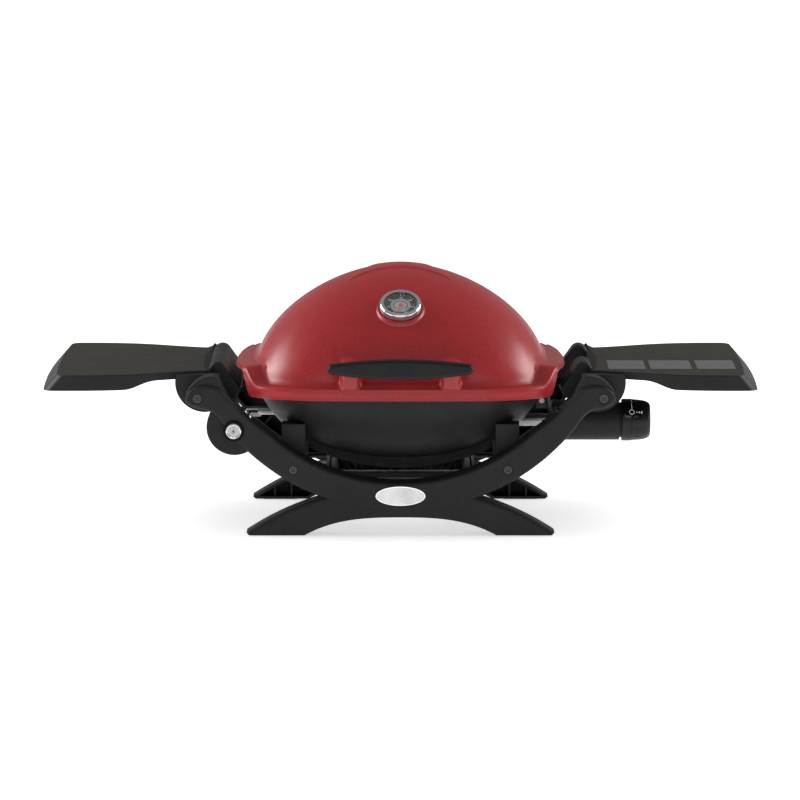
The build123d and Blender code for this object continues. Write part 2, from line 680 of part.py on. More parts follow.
def side_table(shoulder_spans):
    """Right-hand folding table, a ribbed moulding open underneath, with two hinge ears and a shoulder."""
    low = 205.0
    outer = Solid.make_loft(
        [table_wire(low, 0, TABLE_FLARE * 1.35, 2.0), table_wire(TABLE_TOP, 0, 0, 0)], ruled=True
    )
    outer = outer & plate(table_side_profile(0), -200, 200)
    top_edges = outer.edges().filter_by_position(Axis.Z, TABLE_TOP - 0.01, TABLE_TOP + 0.01)
    outer = fillet(top_edges, 2.0)
    inner = Solid.make_loft(
        [
            table_wire(low - 4, TABLE_SKIN, TABLE_FLARE * 1.5, 2.0),
            table_wire(TABLE_TOP - TABLE_SKIN, TABLE_SKIN, 0, 0),
        ],
        ruled=True,
    )
    body = outer - inner
    ribs = []
    for y in (-100, -50, 0, 50, 100):
        ribs.append(block(278, 505, y - 1.5, y + 1.5, 205, TABLE_TOP - 3))
    for x in (320, 380, 440):
        ribs.append(block(x - 1.5, x + 1.5, -160, 160, 205, TABLE_TOP - 3))
    rib_space = inner & plate(table_side_profile(5.0), -200, 200)
    body = join([body, *[rib & rib_space for rib in ribs]])
    ear_disc = Pos(283.5, 219) * Circle(43)
    ear_disc = ear_disc & (Pos(295, 203) * Rectangle(66, 56))
    for side in (-1, 1):
        y0, y1 = sorted((side * EAR_FRONT_Y, side * EAR_BACK_Y))
        body += plate(ear_disc, y0, y1)
        body -= rod_y(y0 - 1, y1 + 1, PIVOT_X, PIVOT_Z, BUSH_R)
    return join([body, *[table_shoulder(y0, y1) for y0, y1 in shoulder_spans]])


def table_shoulder(y0, y1):
    """Rounded shoulder along the right table's inner end, sloping down and inwards, open below."""
    (x0, z0), (x1, z1) = ARM_TOP, ARM_FOOT
    slope = degrees(atan2(z0 - z1, x0 - x1))
    length = sqrt((x0 - x1) ** 2 + (z0 - z1) ** 2)
    outline = Pos((x0 + x1) / 2, (z0 + z1) / 2) * Rot(0, 0, slope)
    shoulder = plate(outline * SlotCenterToCenter(length, 2 * ARM_R), y0, y1)
    for face_y in (y0, y1):
        shoulder = softened(shoulder, 4.0, face_y)
    inside = outline * Pos(-20, 0) * SlotCenterToCenter(length + 40, 2 * (ARM_R - 4.5))
    return shoulder - plate(inside, y0 + 4.5, y1 - 4.5)


def table_bushings():
    sleeves = []
    for side in (-1, 1):
        y0, y1 = sorted((side * EAR_FRONT_Y, side * EAR_BACK_Y))
        sleeve = rod_y(y0, y1, PIVOT_X, PIVOT_Z, BUSH_R)
        sleeves.append(sleeve - rod_y(y0 - 1, y1 + 1, PIVOT_X, PIVOT_Z, BOLT_R + RUNNING))
    return sleeves


def label_plates():
    """Three blank grey plates let into the right table's face."""
    spans = ((303, 357), (364, 424), (432, 488))
    return [block(x0, x1, -106, -20, TABLE_TOP, TABLE_TOP + 0.3) for x0, x1 in spans]


def hinge_bolts():
    bolts = []
    for sx in (-1, 1):
        for sy in (-1, 1):
            bolts.append(
                cross_screw(sy * (FRAME_FACE_Y - 0.6), sy * 113.5, sx * PIVOT_X, PIVOT_Z, 6.6, sy)
            )
    return bolts


def hinge_nuts():
    nuts = []
    for sx in (-1, 1):
        for sy in (-1, 1):
            y0, y1 = sorted((sy * 118.4, sy * 114.4))
            nut = hex_nut(y0, y1, sx * PIVOT_X, PIVOT_Z, 13)
            nuts.append(nut - rod_y(y0 - 1, y1 + 1, sx * PIVOT_X, PIVOT_Z, BOLT_R))
    return nuts


def frame_screws():
    screws = []
    for sx in (-1, 1):
        for sy in (-1, 1):
            screws.append(
                cross_screw(sy * (FRAME_FACE_Y - 0.4), sy * 102, sx * CROSS_X, CROSS_Z, 6.0, sy)
            )
    return screws


def cookbox_bolts():
    bolts = []
    for x in (-CROSS_X, CROSS_X):
        for y in (-COOKBOX_BOLT_Y, COOKBOX_BOLT_Y):
            bolts.append(rod_z(107, 144, x, y, 3.0) + rod_z(107, 112, x, y, 5.5))
    return bolts


def foot_pads():
    """Rubber pads let into the undersides of the feet."""
    pads = []
    for sx in (-1, 1):
        for sy in (-1, 1):
            y0, y1 = sorted((sy * (FRAME_FACE_Y - 9), sy * (FRAME_INNER_Y + 3)))
            pads.append(block(*sorted((sx * 157, sx * 207)), y0, y1, 0, 3.0))
    return pads


# ------------------------------------------------------------------ igniter


def igniter_bezel():
    ring = rod_y(-FRAME_FACE_Y - 2.5, -FRAME_FACE_Y + 14.0, BUTTON_X, BUTTON_Z, BEZEL_R)
    edges = ring.edges().filter_by_position(Axis.Y, -FRAME_FACE_Y - 2.6, -FRAME_FACE_Y - 2.4)
    ring = fillet(edges, 1.8)
    return ring - rod_y(-190, -150, BUTTON_X, BUTTON_Z, BUTTON_R + RUNNING)


def igniter_button():
    cap = rod_y(-FRAME_FACE_Y - 5.0, -FRAME_FACE_Y + 6.0, BUTTON_X, BUTTON_Z, BUTTON_R)
    edges = cap.edges().filter_by_position(Axis.Y, -FRAME_FACE_Y - 5.1, -FRAME_FACE_Y - 4.9)
    cap = fillet(edges, 1.5)
    return cap + rod_y(-FRAME_FACE_Y + 6.0, -FRAME_FACE_Y + 9.0, BUTTON_X, BUTTON_Z, 4.0)


def igniter_module():
    y0, y1 = -FRAME_FACE_Y + 14.0, -104.0
    barrel = rod_y(y0, y1, BUTTON_X, BUTTON_Z, MODULE_R)
    return barrel - rod_y(y0 - 1, y1 - 2.5, BUTTON_X, BUTTON_Z, BATTERY_R)


def igniter_nut():
    y0, y1 = -FRAME_FACE_Y + 24.0, -FRAME_FACE_Y + 29.0
    nut = hex_nut(y0, y1, BUTTON_X, BUTTON_Z, 36)
    return nut - rod_y(y0 - 1, y1 + 1, BUTTON_X, BUTTON_Z, MODULE_R)


def igniter_battery():
    cell = rod_y(-156.0, -107.0, BUTTON_X, BUTTON_Z, BATTERY_R)
    return cell + rod_y(-157.4, -156.0, BUTTON_X, BUTTON_Z, 2.7)


def igniter_lead():
    """Lead from the module to the electrode."""
    route = FilletPolyline(
        (BUTTON_X, -104.0, BUTTON_Z),
        (BUTTON_X, -86.0, BUTTON_Z),
        (-233.0, -66.0, 148.0),
        (-228.0, -44.0, 150.0),
        (-222.0, -30.0, 160.0),
        (-210.0, -30.0, 160.0),
        radius=5.5,
    )
    section = Plane(origin=route @ 0, z_dir=route % 0) * Circle(1.4)
    return sweep(section, path=route)


def igniter_electrode():
    """Ceramic body through the left wall, with its spark wire over the burner."""
    ceramic = rod_x(-208, -150, -30, 160.0, 4.0) + rod_x(-210, -206, -30, 160.0, 2.2)
    return ceramic + rod_x(-150, -134, -30, 160.0, 1.2)


# ------------------------------------------------------------------ gas side


def inlet_plane():
    tilt = radians(INLET_TILT)
    return Plane(origin=(INLET_X, 0, VALVE_Z), x_dir=(1, 0, 0), z_dir=(0, cos(tilt), -sin(tilt)))


def inlet_rod(r, z0, z1):
    return inlet_plane() * (Pos(0, 0, z0) * extrude(Circle(r), amount=z1 - z0))


def valve_body():
    body = rod_x(HOUSING_X0, HOUSING_X1 - 3, 0, VALVE_Z, 12.0) - rod_x(HOUSING_X0 - 1, 247, 0, VALVE_Z, 9.2)
    body -= rod_x(300, HOUSING_X1, 0, VALVE_Z, STEM_R + RUNNING)
    return body - inlet_rod(17.0, 11.0, 40)


def regulator():
    """Round regulator between the valve and the gas inlet."""
    can = inlet_rod(24.0, 13.0, 27.0)
    can = can + inlet_rod(14.0, 11.0, 13.0)
    return can


def gas_inlet():
    socket = inlet_rod(17.0, 27.0, 52.0)
    return socket - inlet_rod(INLET_R, 38.0, 53.0)


def valve_housing():
    shell = rod_x(HOUSING_X0, HOUSING_X1, 0, VALVE_Z, HOUSING_R)
    edges = shell.edges().filter_by_position(Axis.X, HOUSING_X1 - 0.1, HOUSING_X1 + 0.1)
    shell = fillet(edges, 1.5)
    shell -= rod_x(HOUSING_X0 - 1, HOUSING_X1 - 3, 0, VALVE_Z, HOUSING_R - 3)
    shell -= rod_x(HOUSING_X1 - 4, HOUSING_X1 + 1, 0, VALVE_Z, 9.0)
    shell -= inlet_rod(25.0, 10.0, 60.0)
    return shell


def valve_stem():
    return rod_x(302, 352, 0, VALVE_Z, STEM_R) - block(324, 353, 2.6, 6, VALVE_Z - 6, VALVE_Z + 6)


def control_knob():
    """Two-stage knob: a plain collar and a tapered, scalloped grip."""
    x0 = HOUSING_X1 + 3.3
    with BuildSketch(Plane.XZ) as section:
        with BuildLine():
            Polyline((x0, 0), (x0, KNOB_R - 0.8), (x0 + 0.8, KNOB_R), (KNOB_SEAM - 0.8, KNOB_R))
            Polyline((KNOB_SEAM - 0.8, KNOB_R), (KNOB_SEAM, KNOB_R - 0.9), (KNOB_SEAM + 0.8, KNOB_R - 0.5))
            Spline(
                (KNOB_SEAM + 0.8, KNOB_R - 0.5),
                (KNOB_SEAM + 12, KNOB_R - 1.5),
                (KNOB_X1 - 5, KNOB_R - 3.8),
                (KNOB_X1 - 1.2, KNOB_R - 6.5),
                (KNOB_X1, KNOB_R - 10.5),
            )
            Polyline((KNOB_X1, KNOB_R - 10.5), (KNOB_X1, 0), (x0, 0))
        make_face()
    knob = Pos(0, 0, VALVE_Z) * revolve(section.sketch, axis=Axis.X)
    knob -= rod_x(x0 - 1, KNOB_SEAM + 18, 0, VALVE_Z, KNOB_R - 4.5)
    knob += rod_x(x0 + 4, KNOB_SEAM + 20, 0, VALVE_Z, 8.0)
    bore = rod_x(x0 + 3, 359.5, 0, VALVE_Z, STEM_R + RUNNING)
    bore -= block(320, 362, 2.6 + RUNNING, 6, VALVE_Z - 6, VALVE_Z + 6)
    knob -= bore
    for k in range(12):
        angle = radians(30 * k + 15)
        y, z = (KNOB_R + 3.4) * cos(angle), VALVE_Z + (KNOB_R + 3.4) * sin(angle)
        knob -= rod_x(KNOB_SEAM + 4, KNOB_X1 + 1, y, z, 5.6)
    return knob


# ------------------------------------------------------------------ catch pan


def catch_pan():
    rim = block(-PAN_X - 2, PAN_X + 2, -82.0, 82.0, PAN_TOP - 2, PAN_TOP)
    tub = block(-PAN_X, PAN_X, -PAN_Y, PAN_Y, PAN_BOTTOM, PAN_TOP)
    tub = fillet(tub.edges().filter_by(Axis.Z), 14)
    tub = fillet(tub.faces().sort_by(Axis.Z)[0].edges(), 6)
    space = block(-PAN_X + 2.5, PAN_X - 2.5, -PAN_Y + 2.5, PAN_Y - 2.5, PAN_BOTTOM + 2.5, PAN_TOP + 5)
    space = fillet(space.edges().filter_by(Axis.Z), 11.5)
    pull = block(-PAN_X - 20, -PAN_X, -28, 28, PAN_TOP - 3, PAN_TOP)
    pull = fillet(pull.edges().filter_by(Axis.Z).sort_by(Axis.X)[:2], 10)
    pull -= block(-PAN_X - 12, -PAN_X - 2, -18, 18, PAN_TOP - 5, PAN_TOP + 1)
    return (rim + tub + pull) - space


def drip_pan():
    """Disposable foil pan that sits in the catch pan."""
    top = RectangleRounded(196, 128, 16)
    bottom = RectangleRounded(170, 104, 14)
    outer = loft([Pos(0, 0, 79.6) * top, Pos(0, 0, 50.4) * bottom])
    inner = loft([Pos(0, 0, 79.8) * offset(top, -0.8), Pos(0, 0, 51.2) * offset(bottom, -0.8)])
    rim = Pos(0, 0, 78.6) * extrude(RectangleRounded(206, 138, 20), amount=1.0)
    rim -= Pos(0, 0, 78.0) * extrude(offset(top, -0.8), amount=3)
    return (outer - inner) + rim


# ------------------------------------------------------------------ all nodes


def build():
    right_table = side_table(VALVE_SIDE_SPANS)
    left_table = side_table(SHOULDER_SPANS)
    left = lambda shape: mirror(shape, about=Plane.YZ)
    badge = Pos(0, 59.3) * Ellipse(35.5, 13.6)
    return {
        "front_frame": frame(True),
        "rear_frame": mirror(frame(False), about=Plane.XZ),
        "badge_plate": plate(badge, -FRAME_FACE_Y - 1.6, -FRAME_FACE_Y),
        "cross_member_left": cross_member(-1),
        "cross_member_right": cross_member(1),
        "valve_bracket": valve_bracket(),
        "bracket_screws": bracket_screws(),
        "pan_rail_front": pan_rail(),
        "pan_rail_rear": mirror(pan_rail(), about=Plane.XZ),
        "foot_pads": foot_pads(),
        "frame_screws": frame_screws(),
        "hinge_bolts": hinge_bolts(),
        "hinge_nuts": hinge_nuts(),
        "cookbox": cookbox(),
        "cookbox_bolts": cookbox_bolts(),
        "grate_left": grate(),
        "grate_right": left(grate()),
        "burner_tube": burner(),
        "burner_retainer": burner_retainer(),
        "lid_hinge_pins": lid_hinge_pins(),
        "lid": lid(),
        "lid_handle": lid_handle(),
        "handle_screws": handle_screws(),
        "handle_spacers": handle_spacers(),
        "thermometer_case": thermometer_case(),
        "thermometer_bezel": thermometer_bezel(),
        "thermometer_dial": gauge_disc(GAUGE_R - 3.0, 4.0, 5.0) - gauge_disc(2.0, 3, 6),
        "thermometer_lens": gauge_disc(LENS_R, 8.0, 9.2),
        "thermometer_probe": thermometer_probe(),
        "thermometer_nut": gauge_disc(9.0, -14.0, -9.0) - gauge_disc(3.2, -30, 0),
        "thermometer_needle": thermometer_needle(),
        "side_table_right": right_table,
        "side_table_left": left(left_table),
        "table_bushings_right": table_bushings(),
        "table_bushings_left": [left(s) for s in table_bushings()],
        "label_plates": label_plates(),
        "igniter_bezel": igniter_bezel(),
        "igniter_button": igniter_button(),
        "igniter_module": igniter_module(),
        "igniter_nut": igniter_nut(),
        "igniter_battery": igniter_battery(),
        "igniter_lead": igniter_lead(),
        "igniter_electrode": igniter_electrode(),
        "valve_body": valve_body(),
        "regulator": regulator(),
        "gas_inlet": gas_inlet(),
        "valve_housing": valve_housing(),
        "valve_stem": valve_stem(),
        "control_knob": control_knob(),
        "catch_pan": catch_pan(),
        "drip_pan": drip_pan(),
    }


def solids_of(shape):
    pieces = shape if isinstance(shape, list) else [shape]
    return [solid for piece in pieces for solid in piece.solids()]


for name, shape in build().items():
    export_step(Compound(children=solids_of(shape)), f"parts/{name}.step")
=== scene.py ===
import json
import math
from math import cos, pi, radians, sin

import bmesh
import bpy
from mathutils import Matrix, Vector, noise


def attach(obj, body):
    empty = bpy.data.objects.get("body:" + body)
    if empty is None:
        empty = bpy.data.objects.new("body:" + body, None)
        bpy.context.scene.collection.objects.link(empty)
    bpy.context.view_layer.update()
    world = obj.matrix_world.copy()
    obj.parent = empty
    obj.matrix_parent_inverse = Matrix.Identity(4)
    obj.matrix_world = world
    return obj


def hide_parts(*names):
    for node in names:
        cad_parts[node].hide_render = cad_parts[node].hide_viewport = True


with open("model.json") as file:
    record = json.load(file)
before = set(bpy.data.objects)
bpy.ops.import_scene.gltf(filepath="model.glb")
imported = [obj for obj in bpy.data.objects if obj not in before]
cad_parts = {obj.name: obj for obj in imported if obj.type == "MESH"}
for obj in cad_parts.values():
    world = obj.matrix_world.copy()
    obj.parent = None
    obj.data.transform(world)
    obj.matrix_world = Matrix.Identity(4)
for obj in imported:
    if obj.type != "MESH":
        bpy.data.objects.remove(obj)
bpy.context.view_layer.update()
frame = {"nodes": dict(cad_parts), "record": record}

MM = 0.001
nodes = frame["nodes"]
scene = bpy.context.scene

# ------------------------------------------------------------------ materials


class Graph:
    """Short calls for building one material's nodes around its Principled shader."""

    def __init__(self, name):
        self.material = bpy.data.materials.new(name)
        self.material.use_nodes = True
        self.tree = self.material.node_tree
        self.shader = self.tree.nodes["Principled BSDF"]
        coordinates = self.tree.nodes.new("ShaderNodeTexCoord")
        self.where = coordinates.outputs["Object"]

    def node(self, kind, **inputs):
        """A node whose inputs are linked or set. An underscore in a name stands for a space."""
        made = self.tree.nodes.new(kind)
        for key, value in inputs.items():
            socket = made.inputs[key.replace("_", " ")]
            if isinstance(value, bpy.types.NodeSocket):
                self.tree.links.new(value, socket)
            else:
                socket.default_value = value
        return made

    def noise(self, scale, detail=3.0, roughness=0.55, where=None):
        made = self.node("ShaderNodeTexNoise", Scale=scale, Detail=detail, Roughness=roughness)
        self.tree.links.new(where or self.where, made.inputs["Vector"])
        return made.outputs["Fac"]

    def stretched(self, x, y, z):
        """Object coordinates times a factor on each axis."""
        made = self.node("ShaderNodeMapping", Vector=self.where)
        made.inputs["Scale"].default_value = (x, y, z)
        return made.outputs["Vector"]

    def span(self, value, low, high, to_low=0.0, to_high=1.0):
        """Maps the range low..high to to_low..to_high and clamps it."""
        made = self.node("ShaderNodeMapRange", Value=value)
        for key, number in (("From Min", low), ("From Max", high), ("To Min", to_low), ("To Max", to_high)):
            made.inputs[key].default_value = number
        return made.outputs["Result"]

    def mix(self, share, first, second):
        """The first colour where share is 0 and the second where it is 1."""
        made = self.tree.nodes.new("ShaderNodeMix")
        made.data_type = "RGBA"
        self.tree.links.new(share, made.inputs[0])
        for index, value in ((6, first), (7, second)):
            if isinstance(value, bpy.types.NodeSocket):
                self.tree.links.new(value, made.inputs[index])
            else:
                made.inputs[index].default_value = (*value, 1.0)
        return made.outputs[2]

    def tones(self, value, low, high, first, second, most=1.0):
        """Mixes two colours by where a value lies between low and high."""
        return self.mix(self.span(value, low, high, 0.0, most), first, second)

    def math(self, operation, first, second=None):
        made = self.tree.nodes.new("ShaderNodeMath")
        made.operation = operation
        self.tree.links.new(first, made.inputs[0])
        if isinstance(second, bpy.types.NodeSocket):
            self.tree.links.new(second, made.inputs[1])
        elif second is not None:
            made.inputs[1].default_value = second
        return made.outputs[0]

    def worn_edges(self, under, bare, amount, low=0.52, high=0.6):
        """The bare colour shows on sharp outer edges, where the surface is most pointed."""
        geometry = self.tree.nodes.new("ShaderNodeNewGeometry")
        return self.tones(geometry.outputs["Pointiness"], low, high, under, bare, amount)

    def link(self, value, socket):
        self.tree.links.new(value, self.shader.inputs[socket])

    def roughness(self, pattern, low, high):
        """Roughness that follows a noise pattern between two values."""
        self.link(self.span(pattern, 0.3, 0.7, low, high), "Roughness")

    def bump(self, layers):
        """Each layer is (height, strength, distance in metres)."""
        normal = None
        for height, strength, distance in layers:
            made = self.node("ShaderNodeBump", Strength=strength, Distance=distance, Height=height)
            if normal is not None:
                self.tree.links.new(normal, made.inputs["Normal"])
            normal = made.outputs["Normal"]
        self.link(normal, "Normal")

    def set(self, **values):
        """Constant values on the shader. An underscore in a name stands for a space."""
        for key, value in values.items():
            self.shader.inputs[key.replace("_", " ")].default_value = value


def shade(colour, factor):
    return tuple(min(1.0, channel * factor) for channel in colour)


def moulded(name, colour, roughness, grain=900.0, depth=0.00012, wear=0.35, specular=0.5):
    """Textured plastic or paint: mottled colour, fine grain, edges a little lighter from handling."""
    g = Graph(name)
    mottled = g.tones(g.noise(9.0, detail=4.0), 0.35, 0.65, shade(colour, 0.88), shade(colour, 1.12))
    specked = g.tones(g.noise(grain * 0.45, detail=2.0), 0.4, 0.62, mottled, shade(colour, 1.35), 0.6)
    g.link(g.worn_edges(specked, shade(colour, 2.2), wear), "Base Color")
    g.roughness(g.noise(35.0), roughness - 0.06, roughness + 0.07)
    g.bump([(g.noise(grain), 0.45, depth), (g.noise(grain * 0.3), 0.25, depth * 1.5)])
    g.set(Specular_IOR_Level=specular)
    return g.material


def metal(name, colour, roughness, stretch=None, scratch=0.25, dirt=0.25):
    """Bare metal with brushing along one axis or a cast grain, and slight tarnish."""
    g = Graph(name)
    where = g.stretched(*stretch) if stretch else None
    brushed = g.noise(420.0, detail=4.0, where=where)
    toned = g.tones(g.noise(28.0, detail=5.0), 0.35, 0.68, colour, shade(colour, 1.0 - dirt))
    g.link(toned, "Base Color")
    g.roughness(brushed, roughness * 0.75, roughness * 1.3)
    g.bump([(brushed, scratch, 0.00006)])
    g.set(Metallic=1.0)
    return g.material


def table_top():
    """Top of the side tables, painted lighter as lit from above. Near the hinge shoulders it ends in a
    shallow curve, and the strip inside it is painted shade, dark like the pocket there.
    """
    curve_depth = 0.6
    painted_shade_edge = (0.2885, 0.2905)  # metres from the middle of the grill, where the painted shade ends
    # painted shade: the strip by the hinge shoulders is darker than the skirt
    painted_hinge_shade = (0.006, 0.006, 0.0062)
    g = Graph("table_top")
    parts = g.node("ShaderNodeSeparateXYZ", Vector=g.where)
    across = g.math("ABSOLUTE", parts.outputs["X"])
    y_squared = g.math("POWER", g.math("ABSOLUTE", parts.outputs["Y"]), 2.0)
    bow = g.math("MULTIPLY", y_squared, curve_depth)
    outside_painted_shade = g.span(g.math("ADD", across, bow), *painted_shade_edge)
    streak = g.noise(30.0, detail=4.0, where=g.stretched(0.35, 2.0, 1.0))
    # painted light: these top colours are lighter than the skirt's, as lit from above; the streak and speck
    # noise varies them at random
    toned = g.tones(streak, 0.35, 0.65, (0.0215, 0.0205, 0.0155), (0.027, 0.0258, 0.02))
    specked = g.tones(g.noise(290.0, detail=2.0), 0.4, 0.62, toned, (0.031, 0.029, 0.024), 0.5)
    g.link(g.mix(outside_painted_shade, painted_hinge_shade, specked), "Base Color")
    g.roughness(g.noise(35.0), 0.56, 0.68)
    g.bump([(g.noise(650.0), 0.45, 0.0002), (g.noise(200.0), 0.25, 0.0003)])
    g.set(Specular_IOR_Level=0.2)
    return g.material


def red_enamel():
    """Satin enamel over textured cast aluminium: metallic flecks, orange peel, worn edges."""
    base = (0.36, 0.0068, 0.0105)
    fleck_red = (0.72, 0.07, 0.075)
    edge_red = (0.5, 0.05, 0.05)
    g = Graph("red_enamel")
    grain = g.noise(260.0, detail=3.0, roughness=0.6)
    fleck = g.noise(520.0, detail=2.0, roughness=0.7)
    toned = g.tones(g.noise(7.0), 0.3, 0.7, shade(base, 0.94), shade(base, 1.06))
    grained = g.tones(grain, 0.36, 0.66, shade(base, 0.86), toned)
    flecked = g.tones(fleck, 0.58, 0.75, grained, fleck_red, 0.45)
    g.link(g.worn_edges(flecked, edge_red, 0.15, 0.53, 0.62), "Base Color")
    g.roughness(g.noise(60.0, detail=4.0), 0.32, 0.41)
    g.bump([(g.noise(420.0, detail=2.0), 0.5, 0.00022), (g.noise(1300.0), 0.3, 0.00008)])
    g.set(Specular_IOR_Level=0.62, Coat_Weight=0.08, Coat_Roughness=0.3)
    return g.material


def cast_black():
    """Sand-cast aluminium with heat-proof black paint, rubbed off on its edges."""
    g = Graph("cast_black")
    cloud = g.noise(12.0, detail=6.0)
    toned = g.tones(cloud, 0.3, 0.7, (0.012, 0.012, 0.0125), (0.019, 0.019, 0.0195))
    g.link(g.worn_edges(toned, (0.09, 0.088, 0.085), 0.4), "Base Color")
    g.roughness(g.noise(45.0, detail=4.0), 0.46, 0.62)
    g.bump([(g.noise(310.0), 0.5, 0.00025), (g.noise(1100.0), 0.3, 0.0001)])
    g.set(Specular_IOR_Level=0.2)
    return g.material


def grate_iron():
    """Enamelled cast iron with brown burnt runs."""
    g = Graph("grate_iron")
    runs = g.noise(55.0, detail=5.0)
    g.link(g.tones(runs, 0.45, 0.7, (0.012, 0.012, 0.012), (0.05, 0.038, 0.03)), "Base Color")
    g.roughness(g.noise(90.0), 0.22, 0.42)
    g.bump([(g.noise(300.0), 0.45, 0.0003)])
    return g.material


def foil():
    """Creased aluminium foil."""
    g = Graph("foil")
    crease = g.noise(120.0, detail=5.0, roughness=0.6)
    g.link(g.tones(crease, 0.35, 0.65, (0.42, 0.42, 0.43), (0.7, 0.7, 0.71)), "Base Color")
    g.roughness(crease, 0.32, 0.5)
    g.bump([(crease, 0.7, 0.0012)])
    g.set(Metallic=0.8)
    return g.material


def gauge_glass():
    """Thin clear pane: mostly see-through, with a faint smear on its face."""
    g = Graph("gauge_glass")
    g.link(g.span(g.noise(60.0), 0.4, 0.8, 0.03, 0.08), "Roughness")
    g.link(g.span(g.noise(90.0, detail=4.0), 0.4, 0.75, 0.03, 0.07), "Alpha")
    g.bump([(g.noise(25.0, detail=1.0), 0.05, 0.0002)])
    g.set(Base_Color=(0.9, 0.92, 0.92, 1.0), Specular_IOR_Level=0.15)
    return g.material


def electrode_ceramic():
    """Glazed ceramic, a little browned."""
    g = Graph("electrode_ceramic")
    glaze = g.noise(90.0, detail=4.0)
    g.link(g.tones(glaze, 0.4, 0.7, (0.8, 0.79, 0.74), (0.62, 0.6, 0.55)), "Base Color")
    g.roughness(g.noise(200.0), 0.15, 0.3)
    g.bump([(g.noise(500.0), 0.2, 0.0001)])
    return g.material


# Each row is the colour, the roughness and the settings that differ from the usual ones.
MOULDED = {
    "frame_nylon": ((0.0118, 0.0118, 0.0121), 0.5, dict(specular=0.22)),
    "table_skirt": ((0.0105, 0.0105, 0.0108), 0.5, dict(specular=0.25)),
    "handle_nylon": ((0.0072, 0.0072, 0.0076), 0.46, dict(grain=1100.0, specular=0.24)),
    "knob_black": ((0.0075, 0.0075, 0.008), 0.38, dict(grain=1300.0, depth=0.00006, specular=0.3)),
    "gloss_black": ((0.0025, 0.0025, 0.003), 0.14, dict(grain=200.0, depth=0.00002, wear=0.1)),
    # painted shade: near-black that reflects little, for the shaded recess round the igniter button
    "recess_black": ((0.003, 0.003, 0.0032), 0.5, dict(depth=0.00003, specular=0.1)),
    "button_white": ((0.48, 0.49, 0.51), 0.3, dict(depth=0.00003, wear=0.0)),
    "foot_rubber": ((0.014, 0.014, 0.014), 0.85, dict(grain=500.0, depth=0.0002, wear=0.1)),
    "lead_rubber": ((0.02, 0.02, 0.02), 0.55, dict(grain=700.0)),
    "black_screw": ((0.011, 0.011, 0.012), 0.28, dict(grain=1500.0, depth=0.00005, wear=1.0)),
    "black_steel": ((0.016, 0.016, 0.016), 0.42, dict(grain=700.0, wear=0.5)),
    "gauge_dial": ((0.0035, 0.0035, 0.0035), 0.6, dict(depth=0.00002, wear=0.0)),
    "gauge_disc": ((0.33, 0.33, 0.34), 0.42, dict(depth=0.00002, wear=0.0)),
    "print_white": ((0.78, 0.78, 0.78), 0.5, dict(depth=0.00001, wear=0.0)),
    "print_dark": ((0.03, 0.03, 0.03), 0.5, dict(depth=0.00001, wear=0.0)),
    "needle_red": ((0.62, 0.03, 0.02), 0.4, dict(depth=0.00002, wear=0.0)),
    "bush_acetal": ((0.4, 0.4, 0.38), 0.4, dict(depth=0.00004)),
    "label_grey": ((0.078, 0.078, 0.078), 0.48, dict(grain=400.0, depth=0.00004, wear=0.1)),
    "battery_jacket": ((0.3, 0.3, 0.32), 0.25, dict(depth=0.00003)),
}
METALS = {
    "pan_aluminium": ((0.42, 0.42, 0.43), 0.45, dict(dirt=0.35)),
    "satin_silver": ((0.66, 0.67, 0.68), 0.3, dict(stretch=(1.0, 6.0, 6.0))),
    "gauge_chrome": ((0.78, 0.78, 0.8), 0.1, dict(scratch=0.05, dirt=0.08)),
    "burner_steel": ((0.52, 0.51, 0.5), 0.32, dict(stretch=(0.15, 2.0, 2.0))),
    "zinc_steel": ((0.6, 0.61, 0.62), 0.33, dict(stretch=(0.2, 2.0, 2.0))),
    "valve_brass": ((0.62, 0.46, 0.2), 0.27, dict(stretch=(2.0, 0.3, 0.3))),
}
SPECIAL = (table_top, red_enamel, cast_black, grate_iron, foil, gauge_glass, electrode_ceramic)

MATERIALS = {make.__name__: make() for make in SPECIAL}
for kind, rows in ((moulded, MOULDED), (metal, METALS)):
    for name, (colour, roughness, settings) in rows.items():
        MATERIALS[name] = kind(name, colour, roughness, **settings)

# ------------------------------------------------------------------ the CAD nodes' looks

SLOTS = {row["node"]: row["material_slot"] for row in frame["record"]["subparts"]}
TABLES = ("side_table_left", "side_table_right")
# Nodes whose visible tone differs from the other nodes of their material. The igniter bezel's recess_black
# is painted shade of the recess it sits in.
SECOND_TONES = {**dict.fromkeys(TABLES, "table_skirt"), "igniter_bezel": "recess_black"}

SMOOTH_BELOW = radians(32.0)  # edges that bend more than this stay sharp
TABLE_TOP_LOWEST = 0.231  # metres
TABLE_TOP_STARTS = 0.2755  # metres from the middle of the grill
LOOKS_UP = 0.6  # least z of the normal of a face that counts as top


def paint(obj, name):
    obj.data.materials.clear()
    obj.data.materials.append(MATERIALS[name])


def smooth(obj):
    for polygon in obj.data.polygons:
        polygon.use_smooth = True
    obj.data.set_sharp_from_angle(angle=SMOOTH_BELOW)


def paint_lit_table_top(table):
    """Gives the up-facing faces of a side table's top a second, lighter material, which is painted light
    from above.
    """
    table.data.materials.append(MATERIALS["table_top"])
    for polygon in table.data.polygons:
        centre = polygon.center
        in_top = centre.z > TABLE_TOP_LOWEST and abs(centre.x) > TABLE_TOP_STARTS
        if in_top and polygon.normal.z > LOOKS_UP:
            polygon.material_index = 1


for node_name, node in nodes.items():
    paint(node, SECOND_TONES.get(node_name, SLOTS[node_name]))
    smooth(node)

for node_name in TABLES:
    paint_lit_table_top(nodes[node_name])

# ------------------------------------------------------------------ mesh helpers

BEVEL_ABOVE = radians(35.0)
OVAL_STEPS = 96


